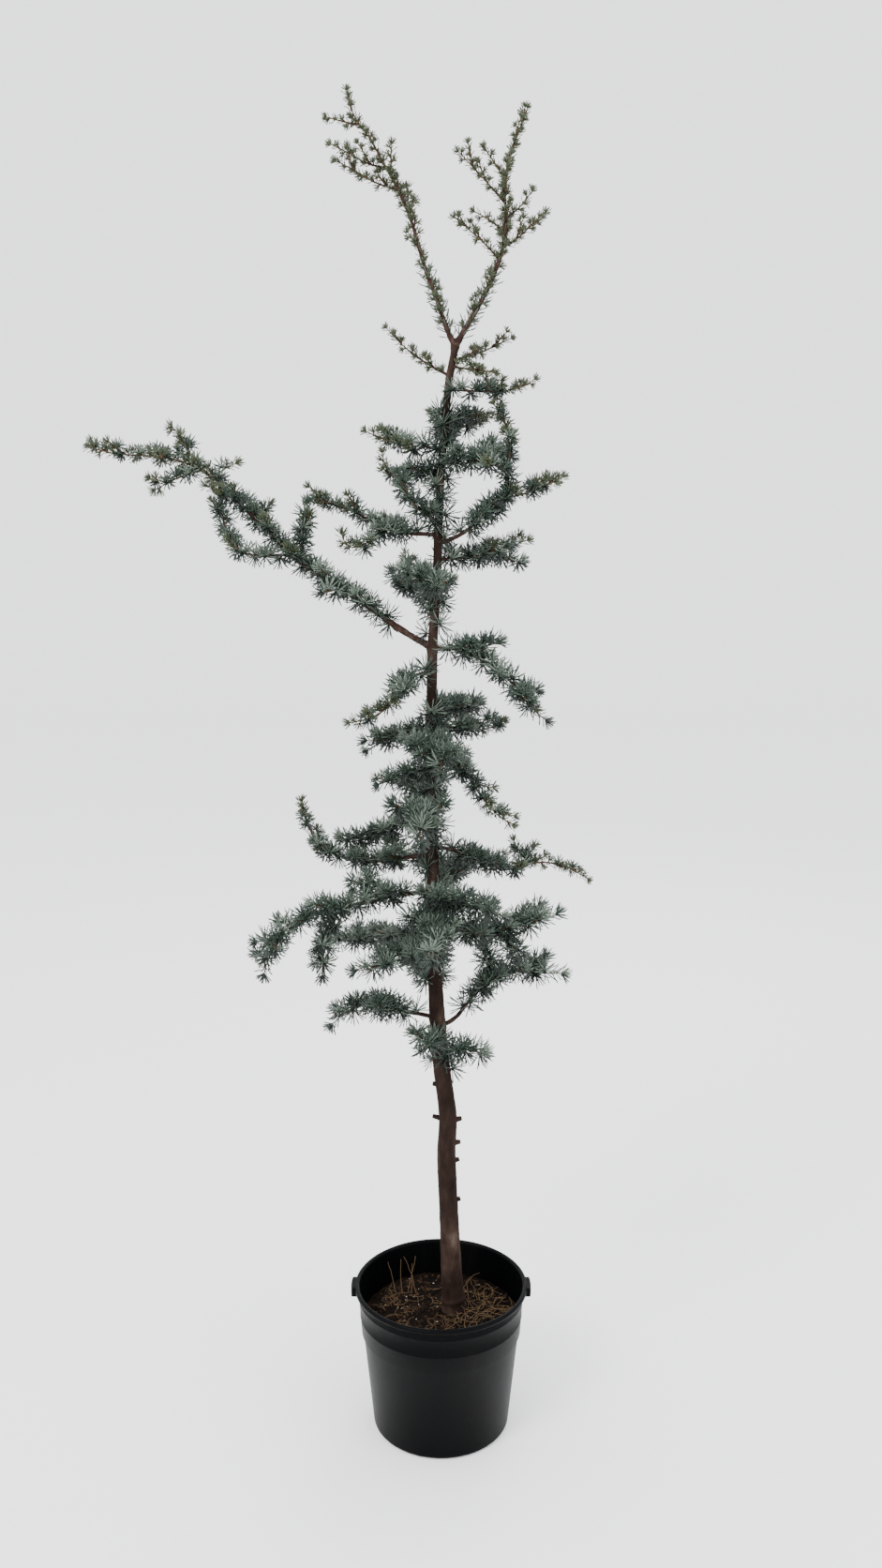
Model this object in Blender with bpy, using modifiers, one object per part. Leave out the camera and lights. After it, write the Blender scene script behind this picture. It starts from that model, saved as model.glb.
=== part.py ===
"""Potted blue atlas cedar: a nursery pot, its soil, a forked trunk, boughs, and masses of needled twigs.

Metres, +Z up. The origin is the centre of the pot's underside. Headings are degrees round +Z, 0 along +X.
Each limb follows one path from the trunk's middle: its bare foot is a bough, and its needled rest is a mass.
"""

import math
import random
from collections import namedtuple

import bmesh
import bpy
import numpy as np
from mathutils import Matrix, Vector

# Clearance between neighbouring solids, and the least gap from a needle to anything else
GAP = 0.0003
NEEDLE_GAP = 0.0006
PATH_STEP = 0.004
SHARP_ANGLE = 35
WELD = 0.00001

# Nursery pot
RIM_RADIUS = 0.130
RIM_HEIGHT = 0.008
RIM_LIP = RIM_HEIGHT / 5
POT_HEIGHT = 0.225
WALL = 0.0022
COLLAR_TOP_RADIUS = 0.1245
COLLAR_FOOT_RADIUS = 0.1200
COLLAR_FOOT = 0.148
COLLAR_STEP = 0.003
BODY_TOP_RADIUS = 0.1172
BASE_RADIUS = 0.1030
FOOT_ROUNDING = 0.007
FOOT_TURNS = (0, 30, 60, 90)
FLOOR = 0.003
POT_STEPS = 28
LUG_WIDTH = 0.034
LUG_DEPTH = 0.006
LUG_HEIGHT = 0.015
LUG_STEPS = 3
DRAIN_HOLES = 4
DRAIN_RADIUS = 0.006
DRAIN_SIDES = 8
DRAIN_RING = 0.078

# Soil: flat round the trunk, lower towards the wall
SOIL_TOP = 0.180
SOIL_EDGE_DROP = 0.006
SOIL_FLAT_RADIUS = 0.050
SOIL_MOUND_RADIUS = 0.085

# Trunk: height, lean along X, lean along Y, radius
TRUNK_FOOT = SOIL_TOP + GAP
TRUNK_TOP = 1.590
FORK_FOOT = 0.026
TRUNK = (
    (TRUNK_FOOT, 0.020, 0.000, 0.0190),
    (0.200, 0.018, 0.000, 0.0168),
    (0.240, 0.016, 0.001, 0.0158),
    (0.330, 0.012, 0.002, 0.0142),
    (0.430, 0.008, 0.000, 0.0137),
    (0.490, 0.010, -0.002, 0.0131),
    (0.560, 0.002, -0.001, 0.0123),
    (0.640, -0.005, 0.002, 0.0113),
    (0.760, -0.011, 0.001, 0.0094),
    (0.900, -0.012, -0.003, 0.0086),
    (1.040, -0.013, 0.001, 0.0077),
    (1.170, -0.012, 0.002, 0.0069),
    (1.270, -0.006, -0.001, 0.0062),
    (1.350, -0.003, 0.000, 0.0057),
    (1.430, 0.001, 0.002, 0.0053),
    (1.530, 0.010, 0.000, 0.0050),
    (1.575, 0.018, 0.000, 0.0048),
    (TRUNK_TOP, 0.020, 0.000, 0.0040),
)
TRUNK_RINGS = 18
TRUNK_CROWDING = 1.2  # rings lie closer together towards the foot
TRUNK_FIRST_STEP = 10 * GAP
TRUNK_SIDES = 3  # a tube has this many more than one corner on each quarter
BOUGH_SIDES = 1
STUB_SIDES = 0
TWIG_SIDES = 3

# Dead stubs on the lower trunk: height, heading, length
STUBS = (
    (0.355, 0, 0.007),
    (0.418, 5, 0.009),
    (0.448, -10, 0.011),
    (0.484, 0, 0.012),
    (0.486, 175, 0.016),
    (0.540, 190, 0.007),
)
STUB_RADIUS = 0.0030
STUB_TAPER = (1.3, 0.8)
STUB_SLOPE = 0.25

# Needled twigs: a whorl of needles stands on a swelling of the twig
WHORL_SPACING = 1.75
WHORL_LEAST_SPACING = 0.030
WHORL_SWELL = 0.0019
WHORL_HALF = 0.0021
WHORL_EXTRA = -0.4  # the first whorl stands closer to the foot than the others do to each other
WHORL_TWIST = 38
NEEDLE_RADIUS = 0.0009
NEEDLE_FORWARD = 0.45
NEEDLE_UP = 0.20
NEEDLE_VARIES = 0.16
NEEDLE_FREE = 0.15  # a needle is tried for room from this share of its length outwards
TIP_SHARE = 0.4  # the last whorl stands this share of a needle short of the twig's tip
TWIG_RADIUS = 0.0014
TWIG_TIP_RADIUS = 0.0007
BOUGH_FLARE = 1.35
BOUGH_FLARE_LENGTH = 0.022
BOUGH_RING_SPACING = 0.020
JOINT = 0.0015  # a limb runs straight this far at each end, so that the faces of a joint are parallel

# Side shoots that every long limb grows by rule
SHOOT_FIRST = 0.050
SHOOT_EVERY = 0.090
SHOOT_END = 0.030
SHOOT_LENGTH = 0.056
SHOOT_ANGLE = (48, 72)
SHOOT_RISE = (0, 22)
SHOOT_FOLLOWS = 0.5  # share of its limb's slope that a shoot takes over
SHOOT_LONGEST = 1.15  # share of the usual length at the limb's foot, and what it loses on the way to the tip
SHOOT_FALL = 0.5
SHOOT_SPREAD = (0.85, 1.10)
SHOOT_SPACING = (0.85, 1.15)
SHOOT_BEND = 25
SHOOT_LIFT = 10
SHOOT_NEEDLE = 0.6  # a shoot's needles are sized for a place this much nearer its limb's foot

# height: where it leaves the trunk. headings: start and end. rises: slope in degrees at even steps along it.
# bare: length of the bare bough. needle: length of its needles at its foot and at its tip.
Limb = namedtuple("Limb", "name height headings length rises bare radius needle shoots twigs")
Twig = namedtuple("Twig", "at headings length rises")

LIMBS = (
    Limb("leader_right", 1.580, (20, -20), 0.318, (58, 58, 62, 68, 85, 95, 80, 65, 80),
         0.060, 0.0042, (0.015, 0.011), 0, (
        Twig(0.126, (190, 170), 0.080, (50, 40, 40)),
        Twig(0.143, (-20, 10), 0.070, (20, 45, 40)),
        Twig(0.163, (160, 190), 0.048, (40, 25)),
        Twig(0.180, (20, 0), 0.050, (30, 60)),
        Twig(0.198, (200, 170), 0.088, (45, 45, 45)),
        Twig(0.226, (170, 200), 0.049, (60, 50)),
        Twig(0.148, (95, 80), 0.060, (35, 50)),
        Twig(0.203, (-85, -95), 0.050, (40, 55)))),
    Limb("leader_left", 1.580, (165, 195), 0.348, (60, 72, 67, 75, 70, 60, 60, 50, 85),
         0.060, 0.0038, (0.015, 0.011), 0, (
        Twig(0.160, (350, 10), 0.037, (70, 70)),
        Twig(0.213, (165, 200), 0.088, (10, 30, 20)),
        Twig(0.243, (195, 165), 0.078, (0, 30, 25)),
        Twig(0.303, (175, 190), 0.044, (10, 15)),
        Twig(0.188, (80, 100), 0.060, (30, 45)),
        Twig(0.228, (-95, -80), 0.050, (30, 50)))),
    Limb("right_1", 1.562, (50, 10), 0.100, (15, 15, 25, 25), 0, 0.0018, (0.015, 0.011), 0, ()),
    Limb("right_2", 1.554, (-50, -40), 0.080, (-10, -10), 0, 0.0016, (0.015, 0.011), 0, ()),
    Limb("right_3", 1.526, (-30, 0), 0.122, (-10, -5, 5, 35), 0, 0.0020, (0.019, 0.012), 0, (
        Twig(0.062, (170, 170), 0.026, (70, 50)),)),
    Limb("right_4", 1.495, (50, 30), 0.092, (-10, 0, 0, 0), 0, 0.0018, (0.021, 0.014), 0, ()),
    Limb("right_5", 1.426, (-50, -40), 0.120, (10, 5, -15, -10), 0, 0.0020, (0.024, 0.020), 0, (
        Twig(0.045, (30, 10), 0.055, (15, 20)),)),
    Limb("right_6", 1.323, (-25, 5), 0.195, (10, 30, 55, 10, 20, 30), 0.045, 0.0030, (0.025, 0.015), 1, (
        Twig(0.118, (170, 150), 0.140, (85, 95, 75, 75)),)),
    Limb("right_7", 1.300, (40, 20), 0.150, (5, 0, 20, 15), 0, 0.0022, (0.024, 0.017), 1, (
        Twig(0.090, (-20, 10), 0.045, (-25, 0)),)),
    Limb("right_8", 1.179, (-35, -10), 0.200, (10, -15, -30, -55, -35), 0.035, 0.0030, (0.026, 0.020), 1, ()),
    Limb("right_9", 1.070, (40, 20), 0.120, (-5, -10, -5, 35), 0, 0.0020, (0.025, 0.015), 1, ()),
    Limb("right_10", 1.026, (-45, -20), 0.162, (5, -15, -55, -45, -20), 0, 0.0022, (0.025, 0.015), 1, ()),
    Limb("right_11", 0.898, (25, -10), 0.242, (-5, -25, -25, 20, -15, -35),
         0.040, 0.0030, (0.026, 0.013), 1, ()),
    Limb("right_12", 0.813, (-60, -40), 0.150, (10, 15, 5, -10), 0, 0.0026, (0.027, 0.024), 1, ()),
    Limb("right_13", 0.787, (-30, 0), 0.185, (0, -10, 15, 15, 25), 0.040, 0.0030, (0.028, 0.024), 1, (
        Twig(0.105, (10, 10), 0.045, (-70, -60)),)),
    Limb("right_14", 0.631, (30, -10), 0.212, (-5, 50, 45, 15, -5, 0), 0.060, 0.0036, (0.028, 0.024), 1, (
        Twig(0.110, (150, 120), 0.050, (70, 45)),)),
    Limb("right_15", 0.594, (-45, -35), 0.082, (20, 20, 0, 5), 0, 0.0020, (0.028, 0.025), 0, ()),
    Limb("left_1", 1.542, (150, 175), 0.112, (25, 30, 40, 50), 0, 0.0018, (0.016, 0.011), 0, ()),
    Limb("left_2", 1.448, (215, 190), 0.112, (5, 0, 15, 25), 0, 0.0020, (0.024, 0.014), 1, ()),
    Limb("left_3", 1.418, (135, 160), 0.122, (-5, 5, -25, 45, 90), 0, 0.0020, (0.024, 0.014), 0, ()),
    Limb("left_4", 1.350, (235, 210), 0.102, (25, 20, 55, 65), 0, 0.0020, (0.024, 0.020), 0, ()),
    Limb("left_5", 1.334, (155, 185), 0.192, (0, 5, 30, 20, 0), 0.040, 0.0028, (0.025, 0.014), 1, (
        Twig(0.079, (200, 180), 0.080, (-60, -35, 5, 90)),)),
    Limb("left_6", 1.181, (178, 186), 0.545, (25, 35, 35, 30, 45, 45, 45, 15, 0, 20),
         0.080, 0.0048, (0.024, 0.015), 0, (
        Twig(0.150, (250, 230), 0.045, (-10, 0)),
        Twig(0.180, (100, 125), 0.055, (15, 20)),
        Twig(0.216, (0, 0), 0.080, (85, 80, 80)),
        Twig(0.228, (195, 165), 0.152, (5, -5, 15, 60, 85, 75)),
        Twig(0.290, (110, 130), 0.060, (25, 40)),
        Twig(0.335, (240, 225), 0.055, (10, 25)),
        Twig(0.376, (20, 10), 0.036, (45, 20)),
        Twig(0.393, (170, 190), 0.070, (-5, -25, -30)),
        Twig(0.403, (180, 180), 0.060, (70, 65, 40)),
        Twig(0.445, (115, 140), 0.045, (10, 25)))),
    Limb("left_7", 1.148, (225, 200), 0.152, (0, -20, -60, -20, -5), 0, 0.0024, (0.025, 0.016), 1, ()),
    Limb("left_8", 1.070, (140, 165), 0.112, (-15, -20, -20, -30), 0, 0.0020, (0.025, 0.020), 1, ()),
    Limb("left_9", 1.008, (230, 205), 0.092, (0, 5, -15, -15), 0, 0.0020, (0.025, 0.020), 0, ()),
    Limb("left_10", 0.942, (130, 155), 0.162, (-10, -20, -30, -30), 0, 0.0024, (0.026, 0.022), 1, ()),
    Limb("left_11", 0.886, (150, 180), 0.252, (-5, -15, -10, 5, 30, 70, 80),
         0.040, 0.0032, (0.027, 0.016), 1, ()),
    Limb("left_12", 0.835, (210, 185), 0.292, (0, 0, -10, -5, -20, -60, -75),
         0.050, 0.0034, (0.025, 0.022), 1, (
        Twig(0.143, (180, 180), 0.100, (-75, -65, -80, -90)),)),
    Limb("left_13", 0.764, (130, 160), 0.212, (-15, -15, -5, -15), 0, 0.0028, (0.027, 0.022), 1, ()),
    Limb("left_14", 0.750, (235, 205), 0.142, (10, 5, -20, 5), 0, 0.0024, (0.027, 0.024), 1, ()),
    Limb("left_15", 0.642, (160, 195), 0.165, (10, 5, 15, 5, -30, -45), 0.040, 0.0032, (0.027, 0.024), 1, ()),
    Limb("front_1", 1.258, (-100, -80), 0.105, (20, 5, -10), 0, 0.0020, (0.026, 0.020), 1, ()),
    Limb("front_2", 1.050, (-75, -95), 0.140, (10, -10, -25), 0, 0.0024, (0.026, 0.021), 1, ()),
    Limb("front_3", 0.950, (-105, -85), 0.160, (15, -5, -20), 0, 0.0026, (0.027, 0.022), 1, ()),
    Limb("front_4", 0.800, (-80, -100), 0.175, (10, -5, -20), 0, 0.0027, (0.028, 0.023), 1, ()),
    Limb("front_5", 0.612, (-100, -110), 0.090, (20, 0), 0, 0.0022, (0.028, 0.025), 0, ()),
    Limb("back_1", 1.460, (80, 100), 0.140, (20, 10, 25), 0, 0.0022, (0.022, 0.014), 1, ()),
    Limb("back_2", 1.240, (110, 95), 0.225, (15, 10, 20, 30), 0, 0.0028, (0.025, 0.015), 1, ()),
    Limb("back_3", 1.090, (65, 80), 0.190, (5, -10, -20), 0, 0.0026, (0.026, 0.017), 1, ()),
    Limb("back_4", 0.965, (100, 85), 0.240, (5, -5, 0, 15), 0, 0.0029, (0.026, 0.017), 1, ()),
    Limb("back_5", 0.845, (70, 95), 0.260, (0, -10, -5, 10), 0, 0.0031, (0.027, 0.019), 1, ()),
    Limb("back_6", 0.690, (110, 90), 0.220, (10, 0, 5, -10), 0, 0.0030, (0.028, 0.023), 1, ()),
)


def clear_scene():
    for item in list(bpy.data.objects):
        bpy.data.objects.remove(item, do_unlink=True)


def new_collection(name):
    group = bpy.data.collections.new(name)
    bpy.context.scene.collection.children.link(group)
    return group


def finish_material(name, colour, roughness):
    """A plain Principled material."""
    material = bpy.data.materials.new(name)
    material.use_nodes = True
    shader = material.node_tree.nodes["Principled BSDF"]
    shader.inputs["Base Color"].default_value = (*colour, 1.0)
    shader.inputs["Roughness"].default_value = roughness
    shader.inputs["Metallic"].default_value = 0.0
    return material


def add_object(name, data, group, material=None):
    item = bpy.data.objects.new(name, data)
    group.objects.link(item)
    if material:
        data.materials.append(material)
    return item


def make_cutter(item):
    item.hide_render = True
    item.display_type = "WIRE"


def apply_modifiers(item):
    """Swap an object's mesh for the one its modifiers make."""
    bpy.context.view_layer.update()
    result = bpy.data.meshes.new_from_object(item.evaluated_get(bpy.context.evaluated_depsgraph_get()))
    item.modifiers.clear()
    item.data = result


def triangulate(item):
    """Split a mesh into triangles, because a cut through a twisted four-sided face isn't flat."""
    shape = bmesh.new()
    shape.from_mesh(item.data)
    bmesh.ops.triangulate(shape, faces=shape.faces)
    shape.to_mesh(item.data)
    shape.free()


def boolean(item, operation, other=None, group=None):
    """Join or cut with one object or a whole collection, and apply it."""
    apply_modifiers(item)
    for operand in (item, *(group.objects if group else [other])):
        triangulate(operand)
    modifier = item.modifiers.new(operation.lower(), "BOOLEAN")
    modifier.operation = operation
    modifier.solver = "EXACT"
    if group:
        modifier.operand_type = "COLLECTION"
        modifier.collection = group
    else:
        modifier.object = other
    apply_modifiers(item)


def turned(name, profile, steps, group, material=None):
    """A solid of revolution from a profile that starts and ends on the axis and runs down its outer side."""
    mesh = bpy.data.meshes.new(name)
    outline = bmesh.new()
    corners = [outline.verts.new((radius, 0.0, height)) for radius, height in profile]
    for first, second in zip(corners, corners[1:]):
        outline.edges.new((first, second))
    outline.to_mesh(mesh)
    outline.free()
    item = add_object(name, mesh, group, material)
    screw = item.modifiers.new("turn", "SCREW")
    screw.steps = steps
    screw.render_steps = steps
    screw.use_merge_vertices = True
    screw.merge_threshold = WELD
    return item


def twig_section(group):
    """The three-sided outline, one metre in radius, that every twig is drawn with."""
    curve = bpy.data.curves.new("twig_section", "CURVE")
    spline = curve.splines.new("POLY")
    spline.points.add(TWIG_SIDES - 1)
    spline.use_cyclic_u = True
    for number, point in enumerate(spline.points):
        turn = -2 * math.pi * number / TWIG_SIDES
        point.co = (math.cos(turn), math.sin(turn), 0.0, 1.0)
    section = add_object("twig_section", curve, group)
    make_cutter(section)
    return section


def tube(name, points, radii, sides, group, material=None, twist=0.0):
    """A tapering tube through the points, with its ends capped and welded, as a mesh.

    sides is a bevel resolution, or the outline that the tube is drawn with.
    """
    curve = bpy.data.curves.new(name, "CURVE")
    curve.dimensions = "3D"
    curve.fill_mode = "FULL"
    if isinstance(sides, int):
        curve.bevel_depth = 1.0
        curve.bevel_resolution = sides
    else:
        curve.bevel_mode = "OBJECT"
        curve.bevel_object = sides
    curve.use_fill_caps = True
    spline = curve.splines.new("POLY")
    spline.points.add(len(points) - 1)
    for number, point in enumerate(spline.points):
        point.co = (*points[number], 1.0)
        point.radius = radii[number]
        point.tilt = math.radians(twist * number)
    guide = add_object(name + "_guide", curve, group)
    bpy.context.view_layer.update()
    mesh = bpy.data.meshes.new_from_object(guide.evaluated_get(bpy.context.evaluated_depsgraph_get()))
    bpy.data.objects.remove(guide, do_unlink=True)
    welded = bmesh.new()
    welded.from_mesh(mesh)
    bmesh.ops.remove_doubles(welded, verts=welded.verts, dist=WELD)
    welded.to_mesh(mesh)
    welded.free()
    return add_object(name, mesh, group, material)


def smooth_at(table, where):
    """Values of a table at one place along its first column, on a smooth curve through its rows."""
    places = [row[0] for row in table]
    where = min(max(where, places[0]), places[-1])
    index = min(max(np.searchsorted(places, where) - 1, 0), len(table) - 2)
    before, low = np.array(table[max(index - 1, 0)]), np.array(table[index])
    high, after = np.array(table[index + 1]), np.array(table[min(index + 2, len(table) - 1)])
    share = (where - low[0]) / (high[0] - low[0])
    low_slope = (high - before) / max(high[0] - before[0], WELD) * (high[0] - low[0])
    high_slope = (after - low) / max(after[0] - low[0], WELD) * (high[0] - low[0])
    cube, square = share**3, share**2
    value = (2 * cube - 3 * square + 1) * low + (cube - 2 * square + share) * low_slope
    value = value + (3 * square - 2 * cube) * high + (cube - square) * high_slope
    return value[1:]


def trunk_point(height):
    lean_x, lean_y, _ = smooth_at(TRUNK, height)
    return Vector((lean_x, lean_y, height))


def trunk_radius(height):
    return float(smooth_at(TRUNK, height)[2])


def limb_path(start, headings, length, rises, step=PATH_STEP):
    """Points along a limb, each a short step on from the last in the heading and slope that hold there."""
    count = max(2, round(length / step))
    points = [start.copy()]
    slopes_at = np.linspace(0, 1, len(rises))
    for number in range(count):
        share = (number + 0.5) / count
        rise = math.radians(np.interp(share, slopes_at, rises))
        heading = math.radians(headings[0] + (headings[1] - headings[0]) * share)
        level = math.cos(rise)
        direction = Vector((level * math.cos(heading), level * math.sin(heading), math.sin(rise)))
        points.append(points[-1] + direction * (length / count))
    return points


def along(path, distance):
    """The point and the direction at a distance along a path of even steps."""
    step = (path[1] - path[0]).length
    index = min(int(distance / step), len(path) - 2)
    direction = (path[index + 1] - path[index]).normalized()
    return path[index] + direction * (distance - index * step), direction


def distance_to(path, point):
    """The distance along a path of even steps at which it comes nearest to a point."""
    step = (path[1] - path[0]).length
    index = min(range(len(path)), key=lambda number: (path[number] - point).length)
    return step * index


def path_length(path):
    return (path[1] - path[0]).length * (len(path) - 1)


class Space:
    """Straight rods that stand for all wood and needles, so that a new one can be tried against them."""

    def __init__(self):
        self.starts, self.ends, self.radii, self.owners = [], [], [], []

    def add(self, owner, start, end, radius):
        self.starts.append(tuple(start))
        self.ends.append(tuple(end))
        self.radii.append(radius)
        self.owners.append(owner)

    def add_path(self, owner, path, radius):
        for first, second in zip(path, path[1:]):
            self.add(owner, first, second, radius)

    def is_clear(self, start, end, radius, ignored):
        """True where a rod keeps clear of every rod whose owner isn't ignored."""
        mine = np.array([owner not in ignored for owner in self.owners])
        if not mine.any():
            return True
        starts, ends = np.array(self.starts)[mine], np.array(self.ends)[mine]
        distances = rod_distances(np.array(start), np.array(end), starts, ends)
        return bool((distances > radius + np.array(self.radii)[mine] + NEEDLE_GAP).all())


def rod_distances(start, end, starts, ends):
    """Least distance from one straight rod to each of many."""
    run, runs = end - start, ends - starts
    apart = start - starts
    a = run @ run
    e = np.einsum("ij,ij->i", runs, runs)
    f = np.einsum("ij,ij->i", runs, apart)
    c = apart @ run
    b = runs @ run
    spread = np.maximum(a * e - b * b, 1e-18)
    s = np.clip((b * f - c * e) / spread, 0, 1)
    t = np.clip((b * s + f) / e, 0, 1)
    s = np.clip((b * t - c) / a, 0, 1)
    gap = apart + s[:, None] * run - t[:, None] * runs
    return np.linalg.norm(gap, axis=1)


def shoot_list(limb, path):
    """The limb's named side twigs, and the short side shoots that a long limb grows by rule."""
    twigs = list(limb.twigs)
    if not limb.shoots:
        return twigs
    chance = random.Random(limb.name)
    side = chance.choice((-1, 1))
    at = max(SHOOT_FIRST, limb.bare + SHOOT_END / 2)
    while at < limb.length - SHOOT_END:
        _, direction = along(path, at)
        heading = math.degrees(math.atan2(direction.y, direction.x)) + side * chance.uniform(*SHOOT_ANGLE)
        rise = math.degrees(math.asin(direction.z)) * SHOOT_FOLLOWS + chance.uniform(*SHOOT_RISE)
        length = SHOOT_LENGTH * (SHOOT_LONGEST - SHOOT_FALL * at / limb.length) * chance.uniform(*SHOOT_SPREAD)
        twigs.append(Twig(at, (heading, heading - side * SHOOT_BEND), length, (rise, rise + SHOOT_LIFT)))
        side = -side
        at += SHOOT_EVERY * chance.uniform(*SHOOT_SPACING)
    return twigs


def whorl_places(first, length, needle):
    """Distances along a twig at which it carries a whorl, the last one at its tip."""
    spacing = max(WHORL_LEAST_SPACING, WHORL_SPACING * sum(needle) / 2)
    count = max(1, round((length - first) / spacing + WHORL_EXTRA))
    return [length - (length - first) * number / (count + WHORL_EXTRA) for number in reversed(range(count))]


def ring_places(begin, whorls, joints):
    """Distances along a twig at which its outline changes, each with its swelling, in order."""
    rings = [(begin, 0.0), (begin + JOINT, 0.0)]
    for place in whorls:
        rings += [(place - WHORL_HALF, 0.0), (place, WHORL_SWELL), (place + WHORL_HALF, 0.0)]
    rings += [(place, 0.0) for place in joints if all(abs(place - other) > WHORL_HALF for other, _ in rings)]
    return sorted(rings)


def needled_twig(name, path, begin, first, radii, needle, joints, space, section, group):
    """A twig from one distance along its path to its end, with the whorls drawn out of its swellings.

    radii and needle are each the size at the twig's foot and at its tip, and joints are the places of its side
    twigs. A needle that would touch anything that isn't its own twig is left out, and its facet stays flat.
    """
    length = path_length(path)
    whorls = whorl_places(first, length - TIP_SHARE * needle[1], needle)
    points, sizes = [], []
    for place, swell in ring_places(begin, whorls, joints):
        points.append(along(path, place)[0])
        sizes.append(radii[0] + (radii[1] - radii[0]) * place / length + swell)
    growth = (needle[1] - needle[0]) / length
    middles = [(*along(path, place), needle[0] + growth * place) for place in whorls]
    item = tube(name, points, sizes, section, group, twist=WHORL_TWIST)
    triangulate(item)
    chance = random.Random(name)
    shape = bmesh.new()
    shape.from_mesh(item.data)
    shape.normal_update()
    for number, (middle, forward, reach) in enumerate(middles):
        owner = (name, number)
        for face in list(shape.faces):
            centre = face.calc_center_median()
            outward = centre - middle
            if outward.length > WHORL_SWELL + radii[0] or abs(outward.dot(forward)) > WHORL_HALF:
                continue
            lean = (outward.normalized() + forward * NEEDLE_FORWARD + Vector((0, 0, NEEDLE_UP))).normalized()
            tip = centre + lean * reach * chance.uniform(1 - NEEDLE_VARIES, 1 + NEEDLE_VARIES)
            if not space.is_clear(centre.lerp(tip, NEEDLE_FREE), tip, NEEDLE_RADIUS, {name, owner}):
                continue
            drawn = bmesh.ops.poke(shape, faces=[face])
            drawn["verts"][0].co = tip
            space.add(owner, centre, tip, NEEDLE_RADIUS)
    shape.to_mesh(item.data)
    shape.free()
    return item


def inner_radius(height):
    """Radius of the pot's inside, which follows the outside of its body and collar."""
    if height > COLLAR_FOOT:
        share = (height - COLLAR_FOOT) / (POT_HEIGHT - COLLAR_FOOT)
        return BODY_TOP_RADIUS - WALL + (COLLAR_TOP_RADIUS - BODY_TOP_RADIUS) * share
    return BASE_RADIUS - WALL + (BODY_TOP_RADIUS - BASE_RADIUS) * height / COLLAR_FOOT


def build_pot(group, cutters, material):
    """The pot: rolled rim, stepped collar, tapering body, rounded foot, two lifting lugs and drain holes."""
    under_rim = POT_HEIGHT - RIM_HEIGHT
    inside = [(0.0, FLOOR), (inner_radius(FLOOR) - FOOT_ROUNDING, FLOOR)]
    inside.append((inner_radius(FOOT_ROUNDING), FOOT_ROUNDING))
    inside += [(inner_radius(COLLAR_FOOT), COLLAR_FOOT), (inner_radius(POT_HEIGHT), POT_HEIGHT - RIM_LIP / 2)]
    rim = [(RIM_RADIUS - RIM_LIP, POT_HEIGHT), (RIM_RADIUS, POT_HEIGHT - RIM_LIP), (RIM_RADIUS, under_rim + RIM_LIP)]
    collar = [(RIM_RADIUS - RIM_LIP, under_rim), (COLLAR_TOP_RADIUS, under_rim)]
    collar += [(COLLAR_FOOT_RADIUS, COLLAR_FOOT + COLLAR_STEP), (BODY_TOP_RADIUS, COLLAR_FOOT)]
    foot = []
    for turn in FOOT_TURNS:
        sweep = math.radians(turn)
        radius = BASE_RADIUS - FOOT_ROUNDING * (1 - math.cos(sweep))
        foot.append((radius, FOOT_ROUNDING * (1 - math.sin(sweep))))
    pot = turned("pot", inside + rim + collar + foot + [(0.0, 0.0)], POT_STEPS, group, material)
    lugs = new_collection("pot_lugs")
    for name, heading in (("right", 0), ("left", 180)):
        build_lug("lug_" + name, math.radians(heading), lugs)
    boolean(pot, "UNION", group=lugs)
    scrap(lugs)
    for number in range(DRAIN_HOLES):
        turn = 2 * math.pi * (number + 0.5) / DRAIN_HOLES
        place = (DRAIN_RING * math.cos(turn), DRAIN_RING * math.sin(turn), FLOOR / 2)
        bpy.ops.mesh.primitive_cylinder_add(vertices=DRAIN_SIDES, radius=DRAIN_RADIUS, depth=4 * FLOOR, location=place)
        hole = bpy.context.object
        hole.name = f"drain_{number + 1}"
        move_to(hole, cutters)
        make_cutter(hole)
        boolean(pot, "DIFFERENCE", other=hole)
    smooth(pot)


def build_lug(name, heading, group):
    """A grip under the rim: a small section swept along the rim, from inside the wall."""
    low, high = POT_HEIGHT - LUG_HEIGHT, POT_HEIGHT - RIM_LIP
    root, tip = COLLAR_TOP_RADIUS - WALL, RIM_RADIUS + LUG_DEPTH
    chamfer = LUG_DEPTH / 2
    section = [(root, low), (tip - chamfer, low), (tip, low + chamfer)]
    section += [(tip, high - chamfer), (tip - chamfer, high), (root, high)]
    sweep = LUG_WIDTH / RIM_RADIUS
    start = Matrix.Rotation(heading - sweep / 2, 3, "Z")
    shape = bmesh.new()
    corners = [shape.verts.new(start @ Vector((radius, 0.0, height))) for radius, height in section]
    face = shape.faces.new(corners)
    bmesh.ops.spin(shape, geom=[face], axis=(0, 0, 1), angle=sweep, steps=LUG_STEPS, use_duplicate=False)
    bmesh.ops.recalc_face_normals(shape, faces=shape.faces)
    mesh = bpy.data.meshes.new(name)
    shape.to_mesh(mesh)
    shape.free()
    add_object(name, mesh, group)


def build_soil(group, material):
    """Soil that fills the pot to just under its collar, flat round the trunk and lower at the wall."""
    edge = SOIL_TOP - SOIL_EDGE_DROP
    profile = [(0.0, SOIL_TOP), (SOIL_FLAT_RADIUS, SOIL_TOP), (SOIL_MOUND_RADIUS, SOIL_TOP - SOIL_EDGE_DROP / 3)]
    profile += [(inner_radius(edge) - 2 * GAP, edge), (inner_radius(COLLAR_FOOT) - 2 * GAP, COLLAR_FOOT)]
    profile += [(inner_radius(FOOT_ROUNDING) - 2 * GAP, FOOT_ROUNDING + GAP)]
    profile += [(inner_radius(FLOOR) - FOOT_ROUNDING - GAP, FLOOR + GAP), (0.0, FLOOR + GAP)]
    soil = turned("soil", profile, POT_STEPS, group, material)
    apply_modifiers(soil)
    smooth(soil)


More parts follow.
